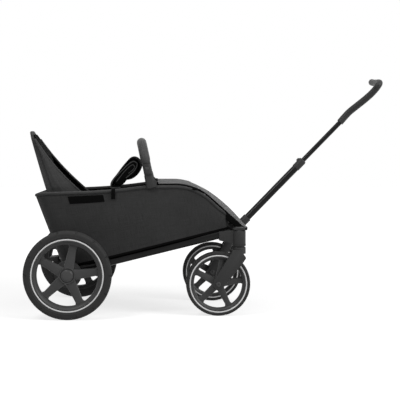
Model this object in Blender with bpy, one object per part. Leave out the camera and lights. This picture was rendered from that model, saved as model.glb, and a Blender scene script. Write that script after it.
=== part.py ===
"""Child's pull-along wagon with a steerable front and a telescopic handle.

Units are metres. +X points forward to the handle, +Y to the left, +Z up.
The working frame has X = 0 on the rear axle, Y = 0 on the middle plane and
Z = 0 on the ground. The finished assembly is moved so that the middle of its
bounding box's base lies on the origin.
"""
import math

import bmesh
import bpy
from mathutils import Matrix, Vector

# Gaps between pieces
SEAT_GAP = 0.0003
RUNNING_GAP = 0.0005
SLIDE_GAP = 0.0004

# Facets round turned pieces, and how far a quad may bend unsplit
SMALL_FACETS = 12
ROUND_FACETS = 16
FLAT_QUAD = 0.00001

# Rear wheels
REAR_RADIUS = 0.150
REAR_TYRE_WIDTH = 0.045
REAR_SEAT_RADIUS = REAR_RADIUS - 0.0315
REAR_WINDOW_RADIUS = REAR_SEAT_RADIUS - 0.0135
REAR_TRACK_HALF = 0.280
REAR_FACETS = 30
REAR_SPOKE_START = math.radians(6.5)
REAR_SPOKE_ROOT = 0.031
REAR_SPOKE_TIP = 0.020
REAR_SPOKE_DEPTH = 0.015

# Front wheels
FRONT_RADIUS = 0.111
FRONT_TYRE_WIDTH = 0.040
FRONT_SEAT_RADIUS = FRONT_RADIUS - 0.0165
FRONT_WINDOW_RADIUS = FRONT_SEAT_RADIUS - 0.0100
FRONT_TRACK_HALF = 0.185
FRONT_FACETS = 26
FRONT_SPOKE_START = math.radians(8.0)
FRONT_SPOKE_ROOT = 0.022
FRONT_SPOKE_TIP = 0.0155
FRONT_SPOKE_DEPTH = 0.012

# Both kinds of wheel
SPOKE_COUNT = 5
REFLECTOR_WIDTH = 0.0052
REFLECTOR_PROUD = 0.0006
REFLECTOR_SEAT = 0.0028
TYRE_SIDE_BULGE = 0.0020
TREAD_HALF_WIDTH = 0.010
TREAD_SHOULDER_DROP = 0.0035
RIM_INSET = 0.0030

# Rear hubs, spindles and the brake
SPINDLE_RADIUS = 0.006
HUB_RADIUS = 0.030
HUB_BOSS_RADIUS = 0.011
HUB_INNER_LENGTH = 0.032
HUB_OUTER_LENGTH = 0.0165
HUB_BUTTON_RADIUS = 0.0215
HUB_BUTTON_LENGTH = 0.0065
HUB_BUTTON_DOME = 0.0022
HUB_BUTTON_TRAVEL = 0.003
RATCHET_RADIUS = 0.047
RATCHET_DEPTH = 0.012
RATCHET_SLOTS = 12
BRAKE_PIN_RADIUS = 0.004
BRAKE_PIN_OFFSET = 0.038
BRAKE_PIN_TRAVEL = 0.010
BRAKE_PIN_REST_GAP = 0.002
BRAKE_SHAFT_RADIUS = 0.006
BRAKE_ARM_WIDTH = 0.034
BRAKE_PAD_SIZE = (0.030, 0.074, 0.015)
BRAKE_PAD_PLACE = (-0.068, REAR_RADIUS + 0.028)

# Lower frame, carried at the rear by the axle and at the front by the casters
SWIVEL_X = 0.587
RAIL_BOTTOM_AT_AXLE = REAR_RADIUS - 0.0105
RAIL_HEIGHT = 0.027
RAIL_WIDTH = 0.022
RAIL_REAR_X = -0.018
RAIL_FRONT_X = SWIVEL_X - 0.035
RAIL_RISE = 0.1329
RAIL_SLOPE = RAIL_RISE / RAIL_FRONT_X
RAIL_REAR_HALF = 0.205
RAIL_FRONT_HALF = 0.178
AXLE_BEAM_RADIUS = 0.014
AXLE_BLOCK_WALL = 0.007
AXLE_BLOCK_REAR = 0.040
AXLE_BLOCK_FRONT = 0.038
AXLE_BLOCK_SOCKET = 0.016
CROSSBEAM_X = SWIVEL_X - 0.027
CROSSBEAM_Z = REAR_RADIUS + 0.125
CROSSBEAM_RADIUS = 0.013

# Casters
TRAIL = 0.0725
HOUSING_RADIUS = 0.0235
HOUSING_BOTTOM = REAR_RADIUS + 0.090
HOUSING_TOP = HOUSING_BOTTOM + 0.056
HOUSING_WALL = 0.005
FORK_TOP = HOUSING_BOTTOM - 0.0025
FORK_CROWN_DROP = 0.023
FORK_LEG_GAP = 0.022
FORK_LEG_THICK = 0.009
FORK_END_RADIUS = 0.021
STEM_RADIUS = 0.0075
STEM_HEAD_RADIUS = 0.012
FRONT_AXLE_RADIUS = 0.005
FRONT_HUB_RADIUS = 0.0200
FRONT_HUB_HALF = 0.0215

# Tub, rim, floor and hood
RIM_REAR_X = -0.123
RIM_FRONT_X = SWIVEL_X - 0.025
RIM_REAR_Z = REAR_RADIUS + 0.2750
RIM_REAR_DROP = 0.007
RIM_SAG = 0.006
RIM_REAR_DROP_LENGTH = 0.045
RIM_RISE_END_X = 0.262
RIM_RISE_END_Z = RIM_REAR_Z + 0.0260
RIM_LEVEL_END_X = RIM_FRONT_X - 0.197
RIM_BEND_RADIUS = 0.175
RIM_DROP_ANGLE = math.radians(42.0)
RIM_REAR_HALF = 0.203
RIM_WIDEST_HALF = 0.225
RIM_FRONT_HALF = 0.181
RIM_WIDEST_X = 0.120
RIM_CORNER = 0.055
RIM_ROLL_WIDTH = 0.024
RIM_ROLL_HEIGHT = 0.013
RIM_TUBE_RADIUS = 0.0042
RIM_SEAM = 0.0012
TUB_WALL = 0.004
TUB_STEP_IN = 0.004
TUB_BASE_REAR_X = -0.023
TUB_BASE_FRONT_X = RIM_FRONT_X - 0.010
TUB_BASE_REAR_HALF = 0.190
TUB_BASE_WIDEST_HALF = 0.214
TUB_BASE_FRONT_HALF = 0.176
FLOOR_THICK = 0.006
FLOOR_MARGIN = 0.006
HOOD_REAR_X = 0.308
HOOD_NOSE_X = RIM_FRONT_X + 0.044
HOOD_WALL = 0.004
HOOD_SEAT_GAP = 0.0006
HOOD_CROWN = 0.0095
HOOD_SWELL = 0.0095
HOOD_SWELL_START = RIM_FRONT_X - 0.107
HOOD_NOSE_PUSH = 0.016
HOOD_NOSE_HALF = 0.150
NOTCH_HALF_WIDTH = 0.034
NOTCH_REAR_X = RIM_FRONT_X + 0.012

# Backrest
BACKREST_PIVOT_X = 0.006
BACKREST_LEAN = math.radians(18.9)
BACKREST_LENGTH = 0.480
BACKREST_BOARD = 0.007
BACKREST_PAD = 0.025
BACKREST_PAD_START = 0.062
BACKREST_TAPER = 0.095
BACKREST_BASE_HALF = 0.158
BACKREST_RIM_HALF = BACKREST_BASE_HALF + 0.007
BACKREST_TOP_HALF = 0.074
BACKREST_TOP_CORNER = 0.040
BACKREST_BARREL = 0.006
BACKREST_TIP = math.radians(30.0)
WING_THICK = 0.005
WING_CANT = 0.020
WING_FOOT = (0.058, RIM_REAR_Z - 0.0160)
WING_SAG = 0.0895
WING_SAG_SHARE = 0.515
WING_END = 0.88
WING_SEAM = (0.72, 0.35)

# Seat
SEAT_REAR_X = 0.062
SEAT_FRONT_X = 0.300
SEAT_HALF_WIDTH = 0.178
SEAT_THICK = 0.030
SEAT_CROWN = 0.007
SEAT_CHANNEL = 0.005

# Harness
STRAP_WIDTH = 0.025
STRAP_THICK = 0.002
SHOULDER_STRAP_Y = 0.055
BUCKLE_SIZE = (0.020, 0.042, 0.050)
CROTCH_STRAP_X = 0.235

# Folded lap pad and its straps
LAP_HALF_WIDTH = 0.208
LAP_FOOT = (0.1655, RIM_RISE_END_Z + 0.0100)
LAP_TOP = (0.2285, RIM_RISE_END_Z + 0.0745)
LAP_LEAF = 0.0215
LAP_SLIT = 0.004
LAP_STRAP_X = 0.153
LAP_STRAP_WIDTH = 0.012
LAP_STRAP_DROP = 0.034

# Bumper bar
BUMPER_BASE_X = 0.282
BUMPER_HALF = 0.213
BUMPER_LEAN = math.radians(12.4)
BUMPER_TOP_Z = RIM_RISE_END_Z + 0.148
BUMPER_CORNER = 0.070
BUMPER_TUBE_RADIUS = 0.0095
BUMPER_SLEEVE_RADIUS = 0.0165
BUMPER_SOCKET_TOP_Z = RIM_RISE_END_Z + 0.036
BUMPER_JOINT_TOP_Z = BUMPER_SOCKET_TOP_Z + 0.041
BUMPER_SOCKET_SIZE = (0.034, 0.027)
BUMPER_JOINT_SIZE = (0.029, 0.032)
BUMPER_LIFT = 0.050
BUMPER_TENON = 0.032
BUTTON_TRAVEL = 0.0024

# Pull handle
PIVOT_X = CROSSBEAM_X + 0.037
PIVOT_Z = CROSSBEAM_Z + 0.016
HANDLE_REST = math.radians(45.7)
HANDLE_UP = math.radians(40.0)
HANDLE_DOWN = math.radians(60.0)
PIVOT_PIN_RADIUS = 0.005
KNUCKLE_RADIUS = 0.017
KNUCKLE_HALF = 0.0150
EAR_THICK = 0.006
SOCKET_END = 0.052
OUTER_TUBE_START = 0.026
OUTER_TUBE_END = 0.322
OUTER_TUBE_RADIUS = 0.0125
OUTER_TUBE_WALL = 0.0015
COLLAR_START = 0.302
COLLAR_END = 0.342
COLLAR_RADIUS = 0.0155
INNER_TUBE_START = 0.238
INNER_TUBE_RADIUS = 0.0085
GRIP_START = 0.534
GRIP_OVERLAP = 0.030
GRIP_RADIUS = 0.0112
GRIP_CORNER_ALONG = 0.726
GRIP_CROSSBAR = 0.120
GRIP_BEND = 0.022
GRIP_RISE = 0.012
TELESCOPE_STROKE = 0.190
GRIP_PLUG_CLEARANCE = 0.0005

# Materials: colour, roughness, metallic
GLOSS_FRAME = ("frame_paint", (0.012, 0.012, 0.013), 0.25, 0.3)
MATT_PLASTIC = ("matt_plastic", (0.035, 0.035, 0.036), 0.55, 0.0)
WHEEL_PLASTIC = ("wheel_plastic", (0.060, 0.061, 0.062), 0.45, 0.0)
TYRE_RUBBER = ("tyre_rubber", (0.042, 0.042, 0.042), 0.8, 0.0)
REFLECTIVE = ("reflective_band", (0.80, 0.80, 0.80), 0.35, 0.0)
TUB_FABRIC = ("tub_fabric", (0.034, 0.035, 0.034), 0.9, 0.0)
HOOD_FABRIC = ("hood_fabric", (0.050, 0.051, 0.050), 0.9, 0.0)
LINING = ("lining_fabric", (0.010, 0.010, 0.010), 0.95, 0.0)
LEATHERETTE = ("leatherette", (0.040, 0.041, 0.042), 0.5, 0.0)
STEEL = ("steel", (0.55, 0.55, 0.56), 0.3, 1.0)


def clear_scene():
    """Remove every object that the file holds."""
    for item in list(bpy.data.objects):
        bpy.data.objects.remove(item, do_unlink=True)


def get_material(finish):
    """Return the material of a finish, made on its first use."""
    name, colour, roughness, metallic = finish
    found = bpy.data.materials.get(name)
    if found:
        return found
    made = bpy.data.materials.new(name)
    made.use_nodes = True
    shader = made.node_tree.nodes["Principled BSDF"]
    shader.inputs["Base Color"].default_value = (*colour, 1.0)
    shader.inputs["Roughness"].default_value = roughness
    shader.inputs["Metallic"].default_value = metallic
    made.diffuse_color = (*colour, 1.0)
    return made


def make_object(name, vertices, faces, finish, parent=None, smooth=True):
    """Make one closed mesh object from world points and seat it under its parent."""
    mesh = bpy.data.meshes.new(name)
    mesh.from_pydata([tuple(v) for v in vertices], [], faces)
    work = bmesh.new()
    work.from_mesh(mesh)
    bmesh.ops.remove_doubles(work, verts=work.verts, dist=1e-6)
    bmesh.ops.recalc_face_normals(work, faces=work.faces)
    work.to_mesh(mesh)
    work.free()
    if smooth:
        mesh.shade_smooth()
        mesh.set_sharp_from_angle(angle=math.radians(35.0))
    mesh.materials.append(get_material(finish))
    made = bpy.data.objects.new(name, mesh)
    bpy.context.scene.collection.objects.link(made)
    if parent:
        attach(made, parent)
    return made


def attach(child, parent):
    """Parent an object built in world space, and move its origin to the parent."""
    place = parent_place(parent)
    child.data.transform(place.inverted())
    child.parent = parent


def parent_place(parent):
    """Return an empty's world matrix, worked out from its chain of parents."""
    place = parent.matrix_basis.copy()
    step = parent.parent
    while step:
        place = step.matrix_basis @ place
        step = step.parent
    return place


def make_empty(name, position, parent=None):
    """Make an empty at a world position to carry a moving group."""
    made = bpy.data.objects.new(name, None)
    bpy.context.scene.collection.objects.link(made)
    here = Matrix.Translation(Vector(position))
    made.matrix_basis = parent_place(parent).inverted() @ here if parent else here
    made.parent = parent
    return made


def boolean(target, tool, operation):
    """Apply one exact Boolean to a target and remove the tool."""
    step = target.modifiers.new("cut", "BOOLEAN")
    step.operation = operation
    step.solver = "EXACT"
    step.object = tool
    bpy.context.view_layer.update()
    graph = bpy.context.evaluated_depsgraph_get()
    result = bpy.data.meshes.new_from_object(target.evaluated_get(graph))
    target.modifiers.remove(step)
    old = target.data
    target.data = result
    bpy.data.meshes.remove(old)
    tool_mesh = tool.data
    bpy.data.objects.remove(tool, do_unlink=True)
    bpy.data.meshes.remove(tool_mesh)
    return target


def fuse(target, tool):
    """Join two overlapping solids into one body."""
    return boolean(target, tool, "UNION")


def carve(target, tool):
    """Take one solid away from another."""
    return boolean(target, tool, "DIFFERENCE")


def flat_faces(points, corners):
    """Return a quad as it is where it's flat, or else split the same way each time.

    Nested surfaces then bend along the same diagonals and keep their gap.
    """
    a, b, c, d = (points[i] for i in corners)
    normal = (b - a).cross(c - a)
    if abs(normal.dot(d - a)) <= FLAT_QUAD * normal.length:
        return [corners]
    return [(corners[0], corners[1], corners[2]), (corners[0], corners[2], corners[3])]


def skin(rings, wrap=False, caps=True):
    """Return points and faces of a surface over rings of equal length."""
    count = len(rings[0])
    points = [point for ring in rings for point in ring]
    faces = []
    spans = len(rings) if wrap else len(rings) - 1
    for i in range(spans):
        a = i * count
        b = (i + 1) % len(rings) * count
        for j in range(count):
            k = (j + 1) % count
            faces += flat_faces(points, (a + j, a + k, b + k, b + j))
    if caps and not wrap:
        faces.append(tuple(range(count)))
        faces.append(tuple(range((len(rings) - 1) * count, len(rings) * count)))
    return points, faces


def hollow_skin(outer, inner, wrap=False):
    """Return a tube-like wall between two sets of rings, open at both ends."""
    points, faces = skin(outer, wrap, caps=False)
    more, extra = skin(inner, wrap, caps=False)
    shift = len(points)
    points = points + more
    faces += [tuple(shift + i for i in face) for face in extra]
    if wrap:
        return points, faces
    count = len(outer[0])
    last = (len(outer) - 1) * count
    for start in (0, last):
        for j in range(count):
            k = (j + 1) % count
            faces.append((start + j, start + k, shift + start + k, shift + start + j))
    return points, faces


def sheet_skin(upper, lower):
    """Return a closed slab between two grids of equal size."""
    rows = len(upper)
    columns = len(upper[0])
    points = [p for row in upper for p in row] + [p for row in lower for p in row]
    shift = rows * columns
    faces = []
    for base in (0, shift):
        for i in range(rows - 1):
            for j in range(columns - 1):
                a = base + i * columns + j
                faces += flat_faces(points, (a, a + 1, a + columns + 1, a + columns))
    edge = [j for j in range(columns)]
    edge += [i * columns + columns - 1 for i in range(1, rows)]
    edge += [(rows - 1) * columns + j for j in range(columns - 2, -1, -1)]
    edge += [i * columns for i in range(rows - 2, 0, -1)]
    for j, a in enumerate(edge):
        b = edge[(j + 1) % len(edge)]
        faces.append((a, b, shift + b, shift + a))
    return points, faces


def circle(radius, count, phase=0.0):
    """Return a circle's points as pairs."""
    angles = [phase + 2.0 * math.pi * i / count for i in range(count)]
    return [(radius * math.cos(a), radius * math.sin(a)) for a in angles]


def oval(width, height, count, power=1.0):
    """Return an ellipse's points, or a squarer oval's when the power is below one.

    Its flat facets, not its corners, lie at the full width and height.
    """
    points = []
    reach = 2.0 * math.cos(math.pi / count) ** power
    for i in range(count):
        angle = 2.0 * math.pi * (i + 0.5) / count
        c = math.cos(angle)
        s = math.sin(angle)
        x = math.copysign(abs(c) ** power, c) * width / reach
        y = math.copysign(abs(s) ** power, s) * height / reach
        points.append((x, y))
    return points


def path_frames(path, closed=False, up=Vector((0.0, 0.0, 1.0))):
    """Return side and up directions at each point of a path."""
    frames = []
    count = len(path)
    for i, point in enumerate(path):
        before = path[i - 1] if closed or i > 0 else point
        after = path[(i + 1) % count] if closed or i < count - 1 else point
        into = (point - before).normalized() if (point - before).length else None
        out = (after - point).normalized() if (after - point).length else None
        tangent = (into + out).normalized() if into and out else (into or out)
        side = tangent.cross(up).normalized()
        rise = side.cross(tangent).normalized()
        stretch = 1.0
        if into and out:
            stretch = 1.0 / max(0.5, tangent.dot(out))
        frames.append((side, rise, stretch))
    return frames


def sweep_rings(path, section, closed=False, up=Vector((0.0, 0.0, 1.0))):
    """Return rings of a section carried along a path."""
    rings = []
    for point, (side, rise, _) in zip(path, path_frames(path, closed, up)):
        rings.append([point + side * a + rise * b for a, b in section])
    return rings


def carried_rings(path, radius, count, side=None):
    """Return round rings along a curved path with no twist between them."""
    rings = []
    if side is None:
        side = (path[1] - path[0]).orthogonal().normalized()
    for i, point in enumerate(path):
        before = path[max(i - 1, 0)]
        after = path[min(i + 1, len(path) - 1)]
        heading = (after - before).normalized()
        side = (side - heading * side.dot(heading)).normalized()
        rise = heading.cross(side)
        size = radius[i] if isinstance(radius, list) else radius
        rings.append([point + side * a + rise * b for a, b in circle(size, count)])
    return rings


def turned_rings(stations, count, centre, axis, phase=0.0):
    """Return circles of given radius and distance along an axis."""
    axis = Vector(axis).normalized()
    side = axis.orthogonal().normalized()
    if abs(axis.y) > 0.9:
        side = Vector((1.0, 0.0, 0.0))
    rise = axis.cross(side)
    rings = []
    for radius, along in stations:
        middle = Vector(centre) + axis * along
        rings.append([middle + side * a + rise * b for a, b in circle(radius, count, phase)])
    return rings


def turned_ring_rings(profile, count, centre, axis, phase=0.0):
    """Return the profile of an annular piece at each angle round an axis."""
    axis = Vector(axis).normalized()
    side = Vector((1.0, 0.0, 0.0)) if abs(axis.y) > 0.9 else axis.orthogonal().normalized()
    rise = axis.cross(side)
    rings = []
    for a, b in circle(1.0, count, phase):
        out = side * a + rise * b
        rings.append([Vector(centre) + out * radius + axis * along for radius, along in profile])
    return rings


def rod(name, start, end, radius, count, finish, parent=None):
    """Make a plain round rod between two points."""
    start = Vector(start)
    end = Vector(end)
    stations = [(radius, 0.0), (radius, (end - start).length)]
    points, faces = skin(turned_rings(stations, count, start, end - start))
    return make_object(name, points, faces, finish, parent)


def prism(name, outline, low, high, finish, parent=None):
    """Make a plate from an X-Z outline, between two Y values."""
    rings = [[Vector((x, y, z)) for x, z in outline] for y in (low, high)]
    points, faces = skin(rings)
    return make_object(name, points, faces, finish, parent)


def box(name, low, high, finish, parent=None):
    """Make a box between two corners."""
    outline = [(low[0], low[2]), (high[0], low[2]), (high[0], high[2]), (low[0], high[2])]
    return prism(name, outline, low[1], high[1], finish, parent)


def arc(centre, radius, start, end, steps):
    """Return points along an arc in a plane, angles in radians."""
    angles = [start + (end - start) * i / steps for i in range(steps + 1)]
    return [(centre[0] + radius * math.cos(a), centre[1] + radius * math.sin(a)) for a in angles]


def blend(low, high, share):
    """Return a value part of the way from one to another."""
    return low + (high - low) * share


def rail_bottom(x):
    """Return the height of the lower rails' underside."""
    return RAIL_BOTTOM_AT_AXLE + RAIL_SLOPE * x


def rail_top(x):
    """Return the height of the lower rails' upper side."""
    return rail_bottom(x) + RAIL_HEIGHT


def rail_half(x):
    """Return the sideways place of a rail's middle."""
    share = (x - RAIL_REAR_X) / (RAIL_FRONT_X - RAIL_REAR_X)
    return blend(RAIL_REAR_HALF, RAIL_FRONT_HALF, share)


def rim_height(x):
    """Return the height of the rim's upper side: a rise, a level and a drop."""
    bend_length = RIM_BEND_RADIUS * math.sin(RIM_DROP_ANGLE)
    bend_drop = RIM_BEND_RADIUS * (1.0 - math.cos(RIM_DROP_ANGLE))
    if x < RIM_RISE_END_X:
        share = (x - RIM_REAR_X) / (RIM_RISE_END_X - RIM_REAR_X)
        fall = max(0.0, 1.0 - (x - RIM_REAR_X) / RIM_REAR_DROP_LENGTH)
        sag = RIM_SAG * math.sin(math.pi * share ** 1.4)
        return blend(RIM_REAR_Z, RIM_RISE_END_Z, share) - RIM_REAR_DROP * fall ** 2 - sag
    if x < RIM_LEVEL_END_X:
        return RIM_RISE_END_Z
    past = x - RIM_LEVEL_END_X
    if past < bend_length:
        return RIM_RISE_END_Z - RIM_BEND_RADIUS + math.sqrt(RIM_BEND_RADIUS ** 2 - past ** 2)
    return RIM_RISE_END_Z - bend_drop - (past - bend_length) * math.tan(RIM_DROP_ANGLE)


def boat_loop(rear_x, front_x, rear_half, widest_half, front_half, corner, height):
    """Return a closed boat-shaped loop of points, rear middle first.

    The sides bow out to their widest place and draw in to the nose. Both ends
    have round corners. The height is a function of X.
    """
    def half_width(x):
        if x < RIM_WIDEST_X:
            share = (RIM_WIDEST_X - x) / (RIM_WIDEST_X - rear_x)
            return widest_half - (widest_half - rear_half) * share ** 2
        share = (x - RIM_WIDEST_X) / (front_x - RIM_WIDEST_X)
        return widest_half - (widest_half - front_half) * share ** 2

    half = []
    rear_y = half_width(rear_x + corner)
    front_y = half_width(front_x - corner)
    half.append((rear_x, 0.0))
    half.append((rear_x, (rear_y - corner) * 0.55))
    for step in range(4):
        angle = 0.5 * math.pi * step / 3.0
        x = rear_x + corner * (1.0 - math.cos(angle))
        y = rear_y - corner * (1.0 - math.sin(angle))
        half.append((x, y))
    side_steps = 11
    for step in range(1, side_steps):
        x = blend(rear_x + corner, front_x - corner, step / side_steps)
        half.append((x, half_width(x)))
    for step in range(4):
        angle = 0.5 * math.pi * step / 3.0
        x = front_x - corner * (1.0 - math.sin(angle))
        y = front_y - corner * (1.0 - math.cos(angle))
        half.append((x, y))
    half.append((front_x, (front_y - corner) * 0.5))
    half.append((front_x, 0.0))
    loop = half + [(x, -y) for x, y in reversed(half[1:-1])]
    return [Vector((x, y, height(x))) for x, y in loop]


def rim_path(inset=0.0):
    """Return the loop that the rim's middle follows."""
    half = RIM_ROLL_WIDTH / 2.0
    return boat_loop(RIM_REAR_X + half + inset, RIM_FRONT_X - half - inset,
                     RIM_REAR_HALF - half - inset, RIM_WIDEST_HALF - half - inset,
                     RIM_FRONT_HALF - half - inset, RIM_CORNER - half,
                     lambda x: rim_height(x) - RIM_ROLL_HEIGHT / 2.0)


def rim_half(x):
    """Return the sideways place of the rim's middle line at an X."""
    path = rim_path()
    half = [p for p in path if p.y >= 0.0]
    half.sort(key=lambda p: p.x)
    for first, second in zip(half, half[1:]):
        if first.x <= x <= second.x and second.x > first.x:
            return blend(first.y, second.y, (x - first.x) / (second.x - first.x))
    return half[-1].y


def make_tyre(name, side, centre, radius, width, seat, facets, parent):
    """Make a tyre: flat bead, groove for the bright ring, shoulders and a flat tread."""
    face = width / 2.0
    bead = face - TYRE_SIDE_BULGE - REFLECTOR_SEAT
    groove = seat + REFLECTOR_WIDTH + 4.0 * SEAT_GAP
    belly = blend(groove, radius, 0.52)
    outer = [(seat + SEAT_GAP, bead), (groove, bead), (groove, bead + REFLECTOR_SEAT)]
    inner = [(seat + SEAT_GAP, -bead), (seat + SEAT_GAP, -bead - REFLECTOR_SEAT - REFLECTOR_PROUD),
             (groove, -bead - REFLECTOR_SEAT)]
    tread = [(belly, face), (radius - TREAD_SHOULDER_DROP, face - TREAD_SHOULDER_DROP),
             (radius, TREAD_HALF_WIDTH)]
    profile = outer + tread + [(r, -a) for r, a in reversed(tread)] + list(reversed(inner))
    shrink = 1.0 / math.cos(math.pi / facets)
    profile = [(r * shrink if r > belly else r, a) for r, a in profile]
    phase = facet_phase(facets)
    points, faces = skin(turned_ring_rings(profile, facets, centre, (0.0, side, 0.0), phase), wrap=True)
    return make_object(name, points, faces, TYRE_RUBBER, parent)


def facet_phase(facets):
    """Return the turn that lays one facet of a wheel flat on the ground."""
    return -0.5 * math.pi + math.pi / facets


def make_reflector(name, side, centre, width, seat, facets, parent):
    """Make the bright ring let into a tyre's outer sidewall."""
    low = seat + 2.0 * SEAT_GAP
    high = low + REFLECTOR_WIDTH
    floor = width / 2.0 - TYRE_SIDE_BULGE - REFLECTOR_SEAT + SEAT_GAP
    top = floor + REFLECTOR_SEAT + REFLECTOR_PROUD
    profile = [(low, floor), (high, floor), (high, top), (low, top)]
    rings = turned_ring_rings(profile, facets, centre, (0.0, side, 0.0), facet_phase(facets))
    points, faces = skin(rings, wrap=True)
    return make_object(name, points, faces, REFLECTIVE, parent)


def spoke_rings(centre, side, angle, root, tip, inner_r, outer_r, depth, dish):
    """Return sections of one tapered spoke with bevelled outer edges."""
    out = Vector((math.cos(angle), 0.0, math.sin(angle)))
    across = Vector((-math.sin(angle), 0.0, math.cos(angle)))
    axial = Vector((0.0, side, 0.0))
    rings = []
    for share in (0.0, 0.45, 1.0):
        half = blend(root, tip, share) / 2.0
        middle = Vector(centre) + out * blend(inner_r, outer_r, share)
        face = blend(dish, 0.0, min(1.0, share * 1.6)) + depth / 2.0
        bevel = 0.18 * half
        outline = [(-half, face - depth), (half, face - depth), (half, face - bevel),
                   (half - bevel, face), (-half + bevel, face), (-half, face - bevel)]
        rings.append([middle + across * a + axial * b for a, b in outline])
    return rings


def make_rim(name, side, centre, seat, window, width, facets, spokes, hub_profile, bore, parent):
    """Make a moulded wheel centre: rim ring, hub and spokes in one body."""
    flange = width / 2.0 - RIM_INSET
    ring = [(seat, -flange), (seat, flange), (window + 0.002, flange), (window, flange - 0.002),
            (window, -flange + 0.002), (window + 0.002, -flange)]
    rings = turned_ring_rings(ring, facets, centre, (0.0, side, 0.0), facet_phase(facets))
    points, faces = skin(rings, wrap=True)
    body = make_object(name, points, faces, WHEEL_PLASTIC)
    start, root, tip, depth, dish = spokes
    inner_r = root / 2.0 / math.tan(math.pi / SPOKE_COUNT) + SEAT_GAP
    points, faces = skin(turned_rings(hub_profile, ROUND_FACETS, centre, (0.0, side, 0.0)))
    hub = make_object("hub_tool", points, faces, WHEEL_PLASTIC)
    for index in range(SPOKE_COUNT):
        angle = start + index * 2.0 * math.pi / SPOKE_COUNT
        rings = spoke_rings(centre, side, angle, root, tip, inner_r, window + 0.003, depth, dish)
        points, faces = skin(rings)
        hub = fuse(hub, make_object("spoke_tool", points, faces, WHEEL_PLASTIC))
    body = fuse(body, hub)
    reach = HUB_INNER_LENGTH * 3.0
    points, faces = skin(turned_rings([(bore, -reach), (bore, reach)], SMALL_FACETS, centre, (0.0, side, 0.0)))
    body = carve(body, make_object("bore_tool", points, faces, WHEEL_PLASTIC))
    body.data.shade_smooth()
    body.data.set_sharp_from_angle(angle=math.radians(30.0))
    attach(body, parent)
    return body


def cut_ratchet(body, side, centre):
    """Cut the brake pin's slots into the hub's inner flange."""
    axial = Vector((0.0, side, 0.0))
    inner = BRAKE_PIN_OFFSET - BRAKE_PIN_RADIUS - 0.0030
    outer = BRAKE_PIN_OFFSET + BRAKE_PIN_RADIUS + 0.0020
    rib = 0.005
    points = []
    faces = []
    for index in range(RATCHET_SLOTS):
        angle = math.pi + index * 2.0 * math.pi / RATCHET_SLOTS
        out = Vector((math.cos(angle), 0.0, math.sin(angle)))
        across = Vector((-math.sin(angle), 0.0, math.cos(angle)))
        rings = []
        for along in (-HUB_INNER_LENGTH - 0.002, -HUB_INNER_LENGTH + RATCHET_DEPTH - 0.002):
            ring = []
            for radius, sign in ((inner, -1), (outer, -1), (outer, 1), (inner, 1)):
                half = radius * math.tan(math.pi / RATCHET_SLOTS) - rib / 2.0
                ring.append(Vector(centre) + out * radius + across * half * sign + axial * along)
            rings.append(ring)
        more, extra = skin(rings)
        faces += [tuple(len(points) + i for i in face) for face in extra]
        points += more
    return carve(body, make_object("slot_tool", points, faces, WHEEL_PLASTIC))


def make_rear_wheel(label, side, chassis):
    """Make one rear wheel with its reflectors and quick-release button."""
    centre = (0.0, side * REAR_TRACK_HALF, REAR_RADIUS)
    carrier = make_empty("rear_wheel_axis_" + label, centre, chassis)
    make_tyre("rear_tyre_" + label, side, centre, REAR_RADIUS, REAR_TYRE_WIDTH,
              REAR_SEAT_RADIUS, REAR_FACETS, carrier)
    make_reflector("rear_reflector_" + label, side, centre, REAR_TYRE_WIDTH,
                   REAR_SEAT_RADIUS, REAR_FACETS, carrier)
    flange = -HUB_INNER_LENGTH + RATCHET_DEPTH
    boss = axle_block_reach()[1] + RUNNING_GAP - REAR_TRACK_HALF
    hub = [(HUB_BOSS_RADIUS, boss), (HUB_BOSS_RADIUS, -HUB_INNER_LENGTH),
           (RATCHET_RADIUS - 0.001, -HUB_INNER_LENGTH), (RATCHET_RADIUS, -HUB_INNER_LENGTH + 0.001),
           (RATCHET_RADIUS, flange), (HUB_RADIUS, flange + 0.003), (HUB_RADIUS, 0.006),
           (HUB_BUTTON_RADIUS + 0.0065, HUB_OUTER_LENGTH - 0.001),
           (HUB_BUTTON_RADIUS + 0.0052, HUB_OUTER_LENGTH)]
    spokes = (REAR_SPOKE_START, REAR_SPOKE_ROOT, REAR_SPOKE_TIP, REAR_SPOKE_DEPTH, 0.0060)
    rim = make_rim("rear_rim_" + label, side, centre, REAR_SEAT_RADIUS, REAR_WINDOW_RADIUS,
                   REAR_TYRE_WIDTH, REAR_FACETS, spokes, hub, SPINDLE_RADIUS + RUNNING_GAP, carrier)
    rim.parent = None
    rim.data.transform(Matrix.Translation(centre))
    cut_ratchet(rim, side, centre)
    recess = HUB_BUTTON_RADIUS + SLIDE_GAP
    floor = hub_recess_floor()
    stations = [(recess, floor), (recess, HUB_OUTER_LENGTH + 0.002)]
    points, faces = skin(turned_rings(stations, ROUND_FACETS, centre, (0.0, side, 0.0)))
    carve(rim, make_object("recess_tool", points, faces, WHEEL_PLASTIC))
    attach(rim, carrier)
    low = floor + HUB_BUTTON_TRAVEL + RUNNING_GAP
    high = low + HUB_BUTTON_LENGTH
    stations = [(HUB_BUTTON_RADIUS, low), (HUB_BUTTON_RADIUS, high - HUB_BUTTON_DOME),
                (HUB_BUTTON_RADIUS * 0.88, high - HUB_BUTTON_DOME * 0.35),
                (HUB_BUTTON_RADIUS * 0.60, high)]
    points, faces = skin(turned_rings(stations, ROUND_FACETS, centre, (0.0, side, 0.0)))
    make_object("hub_button_" + label, points, faces, WHEEL_PLASTIC, carrier)


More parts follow.
